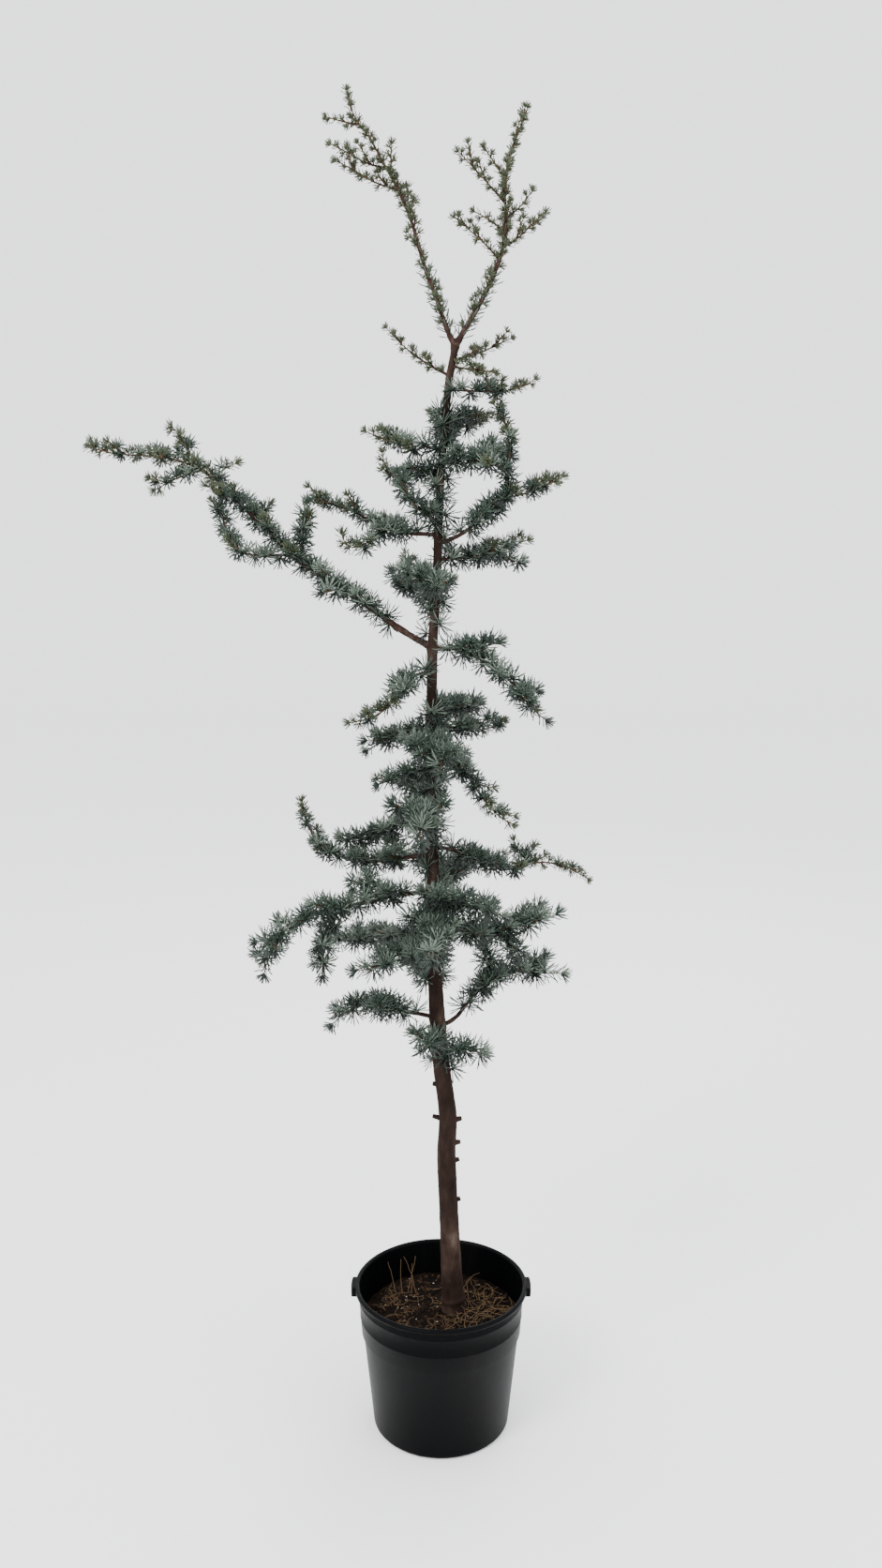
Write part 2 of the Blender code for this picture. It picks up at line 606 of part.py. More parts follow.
def move_to(item, group):
    """Take an object out of the collection it is in, into another."""
    for old in list(item.users_collection):
        old.objects.unlink(item)
    group.objects.link(item)


def scrap(group):
    """Remove a collection and the objects in it."""
    for item in list(group.objects):
        bpy.data.objects.remove(item, do_unlink=True)
    bpy.data.collections.remove(group)


def smooth(item):
    item.data.shade_smooth()
    item.data.set_sharp_from_angle(angle=math.radians(SHARP_ANGLE))


def trunk_rings():
    """Points and radii up the trunk, closer together at its foot, where it stands upright."""
    shares = [(number / TRUNK_RINGS) ** TRUNK_CROWDING for number in range(TRUNK_RINGS + 1)]
    heights = [TRUNK_FOOT + (TRUNK_TOP - TRUNK_FOOT) * share for share in shares]
    points = [trunk_point(height) for height in heights]
    points.insert(1, points[0] + Vector((0, 0, TRUNK_FIRST_STEP)))
    radii = [trunk_radius(height) for height in heights]
    radii.insert(1, radii[0])
    return points, radii


def build_trunk(group, cutters, material):
    """The trunk with its dead stubs, and the slightly larger shape that boughs and masses are cut back with."""
    points, radii = trunk_rings()
    trunk = tube("trunk", points, radii, TRUNK_SIDES, group, material)
    stubs = new_collection("trunk_stubs")
    for number, (height, heading, length) in enumerate(STUBS):
        start = trunk_point(height)
        out = Vector((math.cos(math.radians(heading)), math.sin(math.radians(heading)), STUB_SLOPE)).normalized()
        end = start + out * (trunk_radius(height) + length)
        sizes = [STUB_RADIUS * share for share in STUB_TAPER]
        tube(f"stub_{number + 1}", [start, end], sizes, STUB_SIDES, stubs)
    for limb in LIMBS:
        if is_leader(limb):
            build_length(limb.name + "_foot", limb, 0.0, FORK_FOOT, stubs)
    boolean(trunk, "UNION", group=stubs)
    scrap(stubs)
    smooth(trunk)
    points[0] = points[0] - Vector((0, 0, GAP))
    points[-1] = points[-1] + (points[-1] - points[-2]).normalized() * GAP
    clearance = tube("trunk_clearance", points, [radius + GAP for radius in radii], TRUNK_SIDES, cutters)
    make_cutter(clearance)
    return clearance


def limb_radius(limb, distance):
    """A limb tapers evenly to its tip, and flares where it leaves the trunk."""
    taper = limb.radius + (TWIG_TIP_RADIUS - limb.radius) * distance / limb.length
    flare = max(0.0, 1 - distance / BOUGH_FLARE_LENGTH) ** 2
    return taper * (1 + (BOUGH_FLARE - 1) * flare)


def is_leader(limb):
    """The two leaders grow out of the trunk's fork; every other limb stands against the trunk."""
    return limb.name.startswith("leader")


def stem_path(limb):
    return limb_path(trunk_point(limb.height), limb.headings, limb.length, limb.rises)


def build_length(name, limb, begin, end, group, material=None):
    """A bare length of a limb."""
    rings = max(2, round((end - begin) / BOUGH_RING_SPACING))
    places = [begin + (end - begin) * number / rings for number in range(rings + 1)]
    places = [places[0], begin + JOINT, *places[1:-1], end - JOINT, end]
    points = [along(stem_path(limb), place)[0] for place in places]
    radii = [limb_radius(limb, place) for place in places]
    return tube(name, points, radii, BOUGH_SIDES, group, material)


def build_bough(limb, clearance, group, material):
    """The bare foot of a limb, cut back to the trunk or continued from its fork."""
    begin = FORK_FOOT + GAP if is_leader(limb) else 0.0
    bough = build_length("bough_" + limb.name, limb, begin, limb.bare, group, material)
    if not is_leader(limb):
        boolean(bough, "DIFFERENCE", other=clearance)
    smooth(bough)


def build_mass(limb, paths, clearance, space, section, group, material):
    """The needled rest of a limb with its side twigs, joined into one solid."""
    stem_name = "foliage_" + limb.name
    stem = paths[stem_name]
    begin = limb.bare + GAP if limb.bare else 0.0
    first = begin if limb.bare else trunk_radius(limb.height)
    radii = (limb_radius(limb, begin), TWIG_TIP_RADIUS)
    twigs = {name: path for name, path in paths.items() if name != stem_name}
    joints = [distance_to(stem, path[0]) for path in twigs.values()]
    mass = needled_twig(stem_name, stem, begin, first, radii, limb.needle, joints, space, section, group)
    mass.data.materials.append(material)
    shoots = new_collection("shoots_" + limb.name)
    for name, path in twigs.items():
        share = min(1.0, ((path[0] - stem[0]).length + path_length(path)) / limb.length)
        foot = limb.needle[0] + (limb.needle[1] - limb.needle[0]) * share * SHOOT_NEEDLE
        sizes = (TWIG_RADIUS, TWIG_TIP_RADIUS)
        needled_twig(name, path, 0.0, TWIG_RADIUS, sizes, (foot, limb.needle[1]), (), space, section, shoots)
    if shoots.objects:
        boolean(mass, "UNION", group=shoots)
    scrap(shoots)
    if not limb.bare:
        boolean(mass, "DIFFERENCE", other=clearance)


def lay_out(space):
    """Paths of every limb and twig by node name, with the rule's side shoots kept where they have room."""
    rings, radii = trunk_rings()
    for first, second, radius in zip(rings, rings[1:], radii):
        space.add("trunk", first, second, radius)
    layout = {}
    for limb in LIMBS:
        path = stem_path(limb)
        layout[limb.name] = {"foliage_" + limb.name: path}
        space.add_path("foliage_" + limb.name, path, limb.radius + WHORL_SWELL / 2)
    for limb in LIMBS:
        paths = layout[limb.name]
        stem_name = "foliage_" + limb.name
        for number, twig in enumerate(shoot_list(limb, paths[stem_name])):
            start, _ = along(paths[stem_name], twig.at)
            path = limb_path(start, twig.headings, twig.length, twig.rises)
            name = f"{stem_name}_{number + 1}"
            by_rule = number >= len(limb.twigs)
            if by_rule and not has_room(path, space, stem_name):
                continue
            paths[name] = path
            space.add_path(name, path[1:], TWIG_RADIUS + WHORL_SWELL)
    return layout


def has_room(path, space, stem_name):
    """Whether a side shoot keeps clear of all wood but the stem that it grows from."""
    reach = TWIG_RADIUS + WHORL_SWELL
    return all(space.is_clear(a, b, reach, {stem_name}) for a, b in zip(path[1:], path[2:]))


def main():
    clear_scene()
    cedar = new_collection("potted_blue_cedar")
    cutters = new_collection("cutters")
    plastic = finish_material("black_pot_plastic", (0.012, 0.013, 0.016), 0.5)
    earth = finish_material("potting_soil", (0.045, 0.030, 0.020), 0.95)
    bark = finish_material("old_bark", (0.110, 0.075, 0.062), 0.85)
    young_bark = finish_material("young_bark", (0.140, 0.075, 0.055), 0.75)
    needles = finish_material("blue_needles", (0.110, 0.190, 0.175), 0.60)
    young_needles = finish_material("young_needles", (0.130, 0.180, 0.090), 0.60)
    build_pot(cedar, cutters, plastic)
    build_soil(cedar, earth)
    clearance = build_trunk(cedar, cutters, bark)
    section = twig_section(cutters)
    space = Space()
    layout = lay_out(space)
    for limb in LIMBS:
        paths = layout[limb.name]
        if limb.bare:
            build_bough(limb, clearance, cedar, young_bark)
        green = young_needles if is_leader(limb) else needles
        build_mass(limb, paths, clearance, space, section, cedar, green)


main()
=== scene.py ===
"""Looks of the potted blue atlas cedar: bark, boughs, twigs, needles in sprays, soil and the nursery pot.

Metres, +Z up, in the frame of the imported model. The limbs grow by the solids' own rule, written again here
and carried on to spurs, buds and real needles. Headings are degrees round +Z, with 0 along +X.
"""

import math
import random
from collections import namedtuple

import bpy
import numpy as np
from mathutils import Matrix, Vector, noise


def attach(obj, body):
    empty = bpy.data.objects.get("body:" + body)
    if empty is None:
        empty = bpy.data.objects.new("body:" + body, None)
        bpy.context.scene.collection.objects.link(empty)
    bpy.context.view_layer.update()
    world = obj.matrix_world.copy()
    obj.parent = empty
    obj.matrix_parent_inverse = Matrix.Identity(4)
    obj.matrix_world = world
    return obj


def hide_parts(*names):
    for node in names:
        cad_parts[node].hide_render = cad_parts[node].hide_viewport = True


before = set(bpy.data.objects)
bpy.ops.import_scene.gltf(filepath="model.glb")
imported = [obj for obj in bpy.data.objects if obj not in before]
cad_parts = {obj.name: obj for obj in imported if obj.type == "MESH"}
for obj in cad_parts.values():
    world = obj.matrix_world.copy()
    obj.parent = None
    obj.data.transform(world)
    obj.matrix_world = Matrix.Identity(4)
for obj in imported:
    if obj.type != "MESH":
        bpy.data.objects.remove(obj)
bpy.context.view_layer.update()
bpy.ops.object.select_all(action="DESELECT")

# Camera: the photograph's height, distance, tilt and angle of view
CAMERA_PLACE = (0.0, -1.881, 1.338)
CAMERA_TILT = 10.51
FOCAL_PIXELS = 1450
PHOTO_HEIGHT = 1672
SENSOR = 24.0

# Floor, backdrop and sky
FLOOR_SIZE = 16.0
FLOOR_COLOUR = (0.93, 0.93, 0.925)
FLOOR_ROUGHNESS = 0.9
BACKDROP_STEPS = 12
BACKDROP_STEP = 0.35
SKY_COLOUR = (0.97, 0.98, 1.0, 1)
SKY_STRENGTH = 2.4

# Lights: name, place, height of the point on the plant that it faces, size, power, colour
LIGHTS = (
    ("key", (-1.9, -2.3, 3.4), 0.9, 1.6, 130, (1.0, 0.98, 0.95)),
    ("fill", (2.4, -1.6, 1.7), 0.9, 2.2, 26, (0.92, 0.96, 1.0)),
    ("back", (0.9, 2.4, 2.8), 1.0, 1.8, 40, (1.0, 1.0, 0.98)),
)

# Nursery pot
RIM_RADIUS = 0.130
RIM_HEIGHT = 0.008
POT_HEIGHT = 0.225
WALL = 0.0022
COLLAR_TOP_RADIUS = 0.1245
COLLAR_FOOT_RADIUS = 0.1200
COLLAR_FOOT = 0.148
COLLAR_STEP = 0.003
BODY_TOP_RADIUS = 0.1172
BASE_RADIUS = 0.1030
FOOT_ROUNDING = 0.007
FLOOR = 0.003
POT_STEPS = 160
POT_CENTRE = 0.004  # radius of the disc that closes the underside, and of the one on the floor
FOOT_TURN = 15  # degrees between the rings of the rounded foot
RIM_TURNS = (-60, 181, 20)  # degrees at which the rolled rim's rings lie
POT_SHARP_ANGLE = 40
MOULDING_RINGS = (0.177, 0.205)
MOULDING = 0.0005
MOULDING_FOOT = 0.0014  # a moulded ring's half width at its foot
MOULDING_CREST = 0.0005  # and at its crest
LUG_WIDTH = 0.034
LUG_DEPTH = 0.0055
LUG_HEIGHT = 0.014
LUG_ROOT = 0.006  # how far a lug reaches back into the rim
LUG_DROP = 0.0012  # how far its top lies under the rim's
LUG_CUTS = 7
LUG_ROUNDING = 0.0034
LUG_ROUNDING_STEPS = 3
LUG_SHARP_ANGLE = 50

# Soil
SOIL_TOP = 0.180
SOIL_EDGE_DROP = 0.006
SOIL_RINGS = 46
SOIL_SIDES = 150
SOIL_SPAN = (0.01, 0.99)  # where the first and the last ring lie, as shares of the way in from the edge
SOIL_MIDDLE = 0.001
SOIL_CLEARANCE = 0.0008
SOIL_SINK = 0.0015
SOIL_FLAT_RADIUS = 0.050
SOIL_SLOPE_LENGTH = 0.065
SOIL_SLOPE_CURVE = 1.4
SKIRT_DEPTH = 0.02
SKIRT_TAPER = 0.98
SOIL_LUMP = 0.0032
SMALL_LUMP = 0.5  # a small lump's height beside a large one's
LARGE_LUMP_PLACE = (38, 3.1)  # how close together the lumps lie, and where their noise is cut
SMALL_LUMP_PLACE = (95, 7.7)

# Crumbs on the soil: name, how many, sizes, colour, roughness
CRUMBS = (
    ("soil_crumbs", 2600, (0.0008, 0.0030), (0.007, 0.005, 0.004), 0.95),
    ("bark_chips", 520, (0.0010, 0.0034), (0.045, 0.025, 0.014), 0.9),
    ("grit", 60, (0.0009, 0.0019), (0.34, 0.32, 0.28), 0.85),
)
CRUMB_CORNERS = np.array([(1, 0, 0), (-1, 0, 0), (0, 1, 0), (0, -1, 0), (0, 0, 1), (0, 0, -1)], float)
CRUMB_FACES = np.array(
    [(0, 2, 4), (2, 1, 4), (1, 3, 4), (3, 0, 4), (2, 0, 5), (1, 2, 5), (3, 1, 5), (0, 3, 5)]
)
CRUMB_JITTER = (0.6, 1.25)
CRUMB_NARROW = (0.5, 1)
CRUMB_FLAT = 0.7
CRUMB_RISE = 0.2
LITTER_REACH = 0.108  # crumbs and roots stay within this radius

# Dead roots: how many, range along X, range along Y, lengths, slope, curl, radius
ROOTS = (
    (60, (0.025, 0.098), (-0.065, 0.055), (0.03, 0.075), 14, 46, 0.0006),
    (60, (-0.090, 0.02), (-0.085, 0.05), (0.02, 0.05), 9, 44, 0.0005),
)
ROOT_COLOUR = (0.095, 0.062, 0.034)
ROOT_ROUGHNESS = 0.85
ROOT_STEPS = 14
ROOT_WAVE = 14
ROOT_SIDES = 5
ROOT_TIP = 0.5
ROOT_LIFT = 0.001
ROOT_FEWEST = 3  # a root with no more points than this is left out

# Dead stems that stand up from the soil: place along X, heading
DEAD_STEMS = ((-0.060, 100), (-0.052, 60), (-0.046, 80), (-0.038, 130), (-0.068, 150))
DEAD_STEM_BACK = 0.045
DEAD_STEM_LENGTH = (0.045, 0.065)
DEAD_STEM_SHAPE = (68, 12, 0.0007)  # slope, curl, radius
DEAD_STEM_LIFT = -0.002

# Trunk: height, lean along X, lean along Y, radius
GAP = 0.0003
TRUNK_FOOT = SOIL_TOP + GAP
TRUNK_TOP = 1.590
TRUNK = (
    (TRUNK_FOOT, 0.020, 0.000, 0.0190),
    (0.200, 0.018, 0.000, 0.0168),
    (0.240, 0.016, 0.001, 0.0158),
    (0.330, 0.012, 0.002, 0.0142),
    (0.430, 0.008, 0.000, 0.0137),
    (0.490, 0.010, -0.002, 0.0131),
    (0.560, 0.002, -0.001, 0.0123),
    (0.640, -0.005, 0.002, 0.0113),
    (0.760, -0.011, 0.001, 0.0094),
    (0.900, -0.012, -0.003, 0.0086),
    (1.040, -0.013, 0.001, 0.0077),
    (1.170, -0.012, 0.002, 0.0069),
    (1.270, -0.006, -0.001, 0.0062),
    (1.350, -0.003, 0.000, 0.0057),
    (1.430, 0.001, 0.002, 0.0053),
    (1.530, 0.010, 0.000, 0.0050),
    (1.575, 0.018, 0.000, 0.0048),
    (TRUNK_TOP, 0.020, 0.000, 0.0040),
)
TRUNK_RINGS = 640
TRUNK_SIDES = 36
TRUNK_SAMPLES = 200
TRUNK_FULLNESS = 1.02  # the bark stands this much proud of the plain solid
TRUNK_CLEARANCE = 0.001
FOOT_RING = 0.1985  # height of the swollen ring on the trunk's foot
FOOT_RING_SWELL = 0.0022
FOOT_RING_SPREAD = 0.003
SWELLING_SPREAD = 0.006  # a limb swells the trunk over about this height
SWELLING_FOCUS = 4
SWELLING = 0.45
YOUNG_BARK_FROM = 0.75  # the bark ages from this height down, over the next stretch
AGEING_LENGTH = 0.45

# Relief of the bark: how close together round the trunk, how close along it, depth
BARK_LUMPS = (1.3, 22, 0.00055)
BARK_BANDS = (0.8, 170, 0.00018)
BARK_CRACKS = (5.5, 26, 0.00085)
OLD_BANDS = 0.00030

# Dead stubs on the lower trunk: height, heading, length
STUBS = (
    (0.355, 0, 0.007),
    (0.418, 5, 0.009),
    (0.448, -10, 0.011),
    (0.484, 0, 0.012),
    (0.486, 175, 0.016),
    (0.540, 190, 0.007),
)
STUB_RADIUS = 0.0038
STUB_WIDENS = (1.45, 0.65)  # its width at the trunk's middle, and what it loses from there to its end
STUB_UNEVEN = (0.92, 1.1)
STUB_SPAN = (0.3, 1)  # where its mesh begins and ends, as shares of the way from the trunk's middle
STUB_RINGS = 6
STUB_SIDES = 12
STUB_SLOPE = 0.25
STUB_SHARE = 0.65  # how much of the stated length stands out
WELD = 0.00001  # heights closer than this count as one
SMALLEST = 1e-9  # keeps a division clear of zero
GOLDEN_TURN = 137.5
PATH_STEP = 0.004
FIRST_ACROSS = (0.31, 0.93, 0.17)  # a direction that no path starts in

# Wood of the limbs
TWIG_RADIUS = 0.0014
TWIG_TIP_RADIUS = 0.0007
BOUGH_FLARE = 1.35
BOUGH_FLARE_LENGTH = 0.022
YOUNG_SHARE = 0.62  # beyond this share of a limb its bark is young
TWIG_YOUNG_SHARE = 0.3
LIMB_SIDES = 10
TWIG_SIDES = 7
WOOD_RING = 0.003
FEWEST_RINGS = 6
FEWEST_END_RINGS = (2, 3)  # rings left at least to the old bark and to the young bark
KNOTS = (-0.06, 0.13)
SPUR_LENGTH = 0.0036
SPUR_RADIUS = 0.0011
SPUR_WAIST = 0.6
SPUR_SIDES = 6

# Side shoots that every long limb grows by rule
SHOOT_FIRST = 0.050
SHOOT_EVERY = 0.090
SHOOT_END = 0.030
SHOOT_LENGTH = 0.056
SHOOT_ANGLE = (48, 72)
SHOOT_RISE = (0, 22)
SHOOT_FOLLOWS = 0.5  # share of its limb's slope that a shoot takes over
SHOOT_LONGEST = 1.15  # share of the usual length at the limb's foot, and what it loses towards the tip
SHOOT_FALL = 0.5
SHOOT_SPREAD = (0.85, 1.1)
SHOOT_SPACING = (0.85, 1.15)
SHOOT_BEND = 25
SHOOT_LIFT = 10
SHOOT_NEEDLE = 0.6  # a shoot's needles shorten this much as fast as its limb's do

# Fine shoots between them
FINE_EVERY = 0.027
FINE_SPACING = (0.8, 1.25)
FINE_LENGTH = (0.015, 0.036)
FINE_ANGLE = (40, 75)
FINE_FOLLOWS = 0.6
FINE_RISE = (-5, 30)
FINE_BEND = 15
FINE_LIFT = 12
FINE_REACH = 0.85
FINE_BEGIN = 0.01
FINE_TWIG_BEGIN = 0.014
FINE_END = 0.02

# Needles
NEEDLE_WIDTH = 0.0019
YOUNG_NEEDLE_WIDTH = 0.0014
NEEDLE_BEND = 0.05
NEEDLE_FULL = 0.78  # a needle keeps its width up to this share of its length
NEEDLE_FOOT = 0.7
NEEDLE_POINTS = 7
NEEDLE_STEEP = 0.9
NEEDLE_SIDES = (90, 210, 330)
NEEDLE_FACES = np.array(
    [(0, 1, 4), (0, 4, 3), (1, 2, 5), (1, 5, 4), (2, 0, 3), (2, 3, 5), (3, 4, 6), (4, 5, 6), (5, 3, 6)]
)
NEEDLE_ROUGHNESS = 0.45
NEEDLE_SHINE = 0.35
NEEDLE_COLOURS = {
    "teal": (0.027, 0.046, 0.033),
    "grey": (0.048, 0.068, 0.051),
    "pale": (0.115, 0.148, 0.116),
    # painted shade: a darker copy of the needle colours, for needles that point down
    "shaded": (0.012, 0.020, 0.015),
    "young": (0.046, 0.058, 0.028),
}
SPRAY_KINDS = ("teal", "grey", "pale")
SPRAY_SHARES = (5, 4, 3)
SHADE_BELOW = -0.15  # a needle that points down more steeply than this takes the darker colour of painted shade
FAN_CROWDING = 0.6
FAN_STRAYS = 7
FAN_TURN_STRAYS = 10
SPUR_EVERY = (0.0095, 0.0130)
SPUR_NEEDLES = (22, 28)
SPUR_UP = 0.45
SPUR_FORWARD = 0.25
SPUR_FOOT = 0.6
SPUR_SWELL = 1.15
SPUR_TIP = 0.7
ROSETTE_ANGLES = (8, 104)
ROSETTE_FOOT = 0.3
ROSETTE_SINK = 0.0008
ROSETTE_UNEVEN = (0.86, 1.07)
BRUSH_EVERY = 0.0020
BRUSH_ANGLES = (38, 62)
BRUSH_UP = 0.12
BRUSH_FOOT = 0.7
BRUSH_UNEVEN = (0.72, 1.02)
BRUSH_REACH = 0.8
TUFT_NEEDLES = 18
TUFT_ANGLES = (3, 58)
TUFT_FOOT = 0.0006
TUFT_UNEVEN = (0.65, 1.0)
TUFT_REACH = 0.85
BUD_EVERY = (0.0075, 0.0115)
BUD_NEEDLES = 12
BUD_UP = 0.25
BUD_FORWARD = 0.55
BUD_SPUR = 0.9
BUD_SPUR_TIP = 0.8
BUD_SINK = 0.001
BUD_REACH = 0.78
BUDS_END = 0.004
YOUNG_END = 0.42  # share of a limb's length that is young shoot, where its tip has short needles
OLD_END = 0.12  # and where it doesn't
TRUNK_SPUR_EVERY = (0.008, 0.013)
TRUNK_SPUR_ZONES = ((0.565, 0.600), (0.700, 1.110), (1.200, 1.290), (1.330, 1.500))
TRUNK_SPUR_REACH = 0.0265
TRUNK_SPUR_UNEVEN = (0.85, 1.0)
TRUNK_SPUR_RISE = (0.15, 0.6)
TRUNK_SPUR_STRAYS = 20
BARE_DRESSED = 0.8  # needles begin at this share of a limb's bare length
TRUNK_STANDOFF = 0.004  # or, on a limb with none, this far off the trunk
TWIG_STANDOFF = 0.005
LEADER_FOOT = 0.012  # where a leader's first, longer needles begin
LEADER_DRESSED = 0.105  # and where they end
LEADER_REACH = 0.019
YOUNG_NEEDLE = 0.018  # a limb whose needles are shorter than this is a young shoot
MOST_NEEDLES = 21000  # a piece has at most this many needles

# height: where it leaves the trunk. headings: start and end. rises: its slope, in degrees, at even steps.
# bare: length of the bare bough. needle: length of its needles at its foot and at its tip.
Limb = namedtuple("Limb", "name height headings length rises bare radius needle shoots twigs")
Twig = namedtuple("Twig", "at headings length rises")

